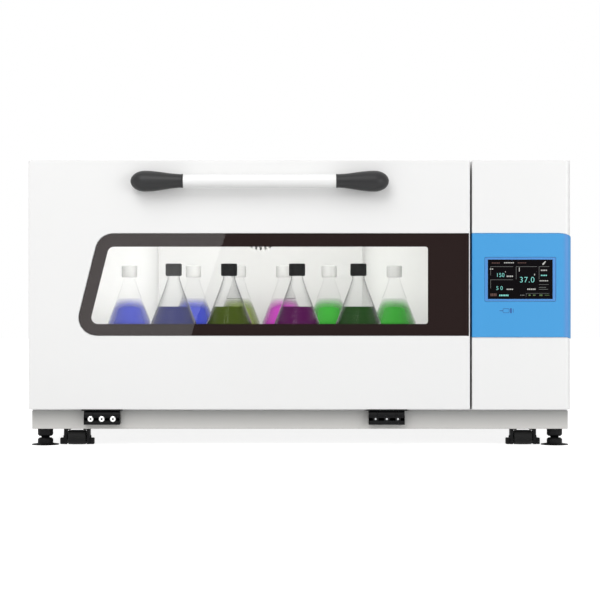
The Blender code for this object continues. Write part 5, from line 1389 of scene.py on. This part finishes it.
@dataclass
class RearScrews:
    """Pan-head screws that hold the rear panel."""

    radius: float = 0.0042
    height: float = 0.0016
    inset: float = 0.011
    columns: int = 6
    rows: int = 4

    def build(self) -> None:
        """Set the screws along the panel's edges."""
        low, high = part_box("rear_panel")
        face = high.y
        spots = []
        for i in range(self.columns):
            x = low.x + self.inset + (high.x - low.x - 2 * self.inset) * i / (self.columns - 1)
            spots += [(x, low.z + self.inset), (x, high.z - self.inset)]
        for j in range(1, self.rows - 1):
            z = low.z + self.inset + (high.z - low.z - 2 * self.inset) * j / (self.rows - 1)
            spots += [(low.x + self.inset, z), (high.x - self.inset, z)]
        r, h = self.radius, self.height
        profile = [(0.0, 0.0), (r, 0.0), (r, h * 0.35), (r * 0.9, h * 0.7), (r * 0.65, h),
                   (r * 0.38, h), (r * 0.34, h * 0.3), (0.0, h * 0.3)]
        first = Bench.lathe("rear_screw", profile, (0, face, 0), "Y", 24)
        parts = []
        for x, z in spots:
            mesh = first.data.copy()
            mesh.transform(Matrix.Translation((x, 0, z)))
            parts.append(Bench.linked("rear_screw", mesh))
        bpy.data.objects.remove(first)
        dress(Bench.join("rear_screws", parts), "bright_zinc", Body.CABINET)


@dataclass
class Hinges:
    """Each hinge block's face plate and three screws, and the leaf that folds in front of them."""

    radius: float = 0.0068
    height: float = 0.0008
    pitch: float = 0.0274
    level: float = photo_z(419.1)
    knuckle: float = 0.0095
    block_foot: float = 0.0242
    block_face: float = 0.0064
    plate_face: float = 0.0098
    plate_drop: float = 0.0039
    plate_gap: float = 0.0001
    lip: float = 0.00024
    lip_foot: float = 0.0100
    lip_inset: float = 0.0002
    tongue: float = 0.0060
    slim_tongue: float = 0.0029

    def build(self) -> None:
        """Set the plates, the screws and the leaves of both hinges."""
        for side, look in (("left", "bright_zinc"), ("right", "black_enamel")):
            low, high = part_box(f"hinge_block_{side}")
            axis = (low.y + self.knuckle, low.z + self.block_foot)
            face = axis[0] - self.plate_face
            top = self.level + self.radius
            plate = Bench.block("plate", (low.x, face, low.z + self.plate_gap),
                                (high.x, axis[0] - self.block_face, top - self.plate_drop), 0.0004)
            lip = Bench.block("lip", (low.x + self.lip_inset, face, low.z + self.lip_foot),
                              (high.x - self.lip_inset, face + self.lip, top), 0.0001)
            dress(Bench.join(f"hinge_face_{side}", [plate, lip]), "black_enamel", Body.CABINET)
            middle = (low.x + high.x) / 2
            for i in (-1, 0, 1):
                self.screw(f"hinge_screw_{side}_{i + 2}",
                           (middle + i * self.pitch, face + self.plate_gap, self.level), look)
            self.leaf(f"hinge_leaf_{side}", axis)

    def leaf(self, node: str, axis: Pair) -> None:
        """Slim a leaf's tongue at the front, so that it clears the screws when the door lies open."""
        obj = Bench.taken(node, f"{node}_folded")
        seam = axis[1] + math.sqrt(self.knuckle ** 2 - self.slim_tongue ** 2)
        for vert in obj.data.vertices:
            if abs(vert.co.y - axis[0] + self.tongue) < 0.0001 and vert.co.z > axis[1] + 0.001:
                vert.co.y = axis[0] - self.slim_tongue
                vert.co.z = max(vert.co.z, seam)
        Bench.folded(obj, 0.0005)
        stand_in(obj, node)

    def screw(self, name: str, place: Place, look: str) -> None:
        """Turn one head with its socket."""
        r, h = self.radius, self.height
        socket = r * 0.40
        profile = [(0.0, 0.0), (r, 0.0), (r, -h * 0.25), (r * 0.86, -h * 0.7), (r * 0.6, -h),
                   (socket, -h), (socket, -h * 0.35), (0.0, -h * 0.35)]
        head = Bench.lathe(name, profile, place, "Y", 36)
        dress(head, look, Body.CABINET)
        key = Bench.lathe(f"{name}_key", [(0.0, 0.0), (socket * 0.98, 0.0),
                                          (socket * 0.98, -h * 0.30), (0.0, -h * 0.30)],
                          (place[0], place[1] - h * 0.10, place[2]), "Y", 6)
        dress(key, "black_enamel" if look == "bright_zinc" else "dull_zinc", Body.CABINET)


def dress_solids() -> None:
    """Give every CAD node that shows its finish."""
    # The air duct cover takes a darker copy of the liner's steel: painted shade
    shades = {"chamber_liner": "pale_steel", "air_duct_cover": "duct_steel_painted_shade"}
    for name, obj in frame["nodes"].items():
        look = shades.get(name, slot_of(name))
        obj.data.materials.clear()
        obj.data.materials.append(finish(look))
        log.info("node %s takes %s", name, look)


def main() -> None:
    """Dress the machine and set up the studio."""
    logging.basicConfig(level=logging.INFO)
    Bench.clear()
    dress_solids()
    Studio().build()
    Base().build()
    Covers().build()
    RearScrews().build()
    Window().build()
    Handle().build()
    Display().build()
    Hinges().build()
    flask = Flask()
    for name in sorted(frame["nodes"]):
        if name.startswith("flask_"):
            flask.build(name)


if __name__ == "__main__":
    main()
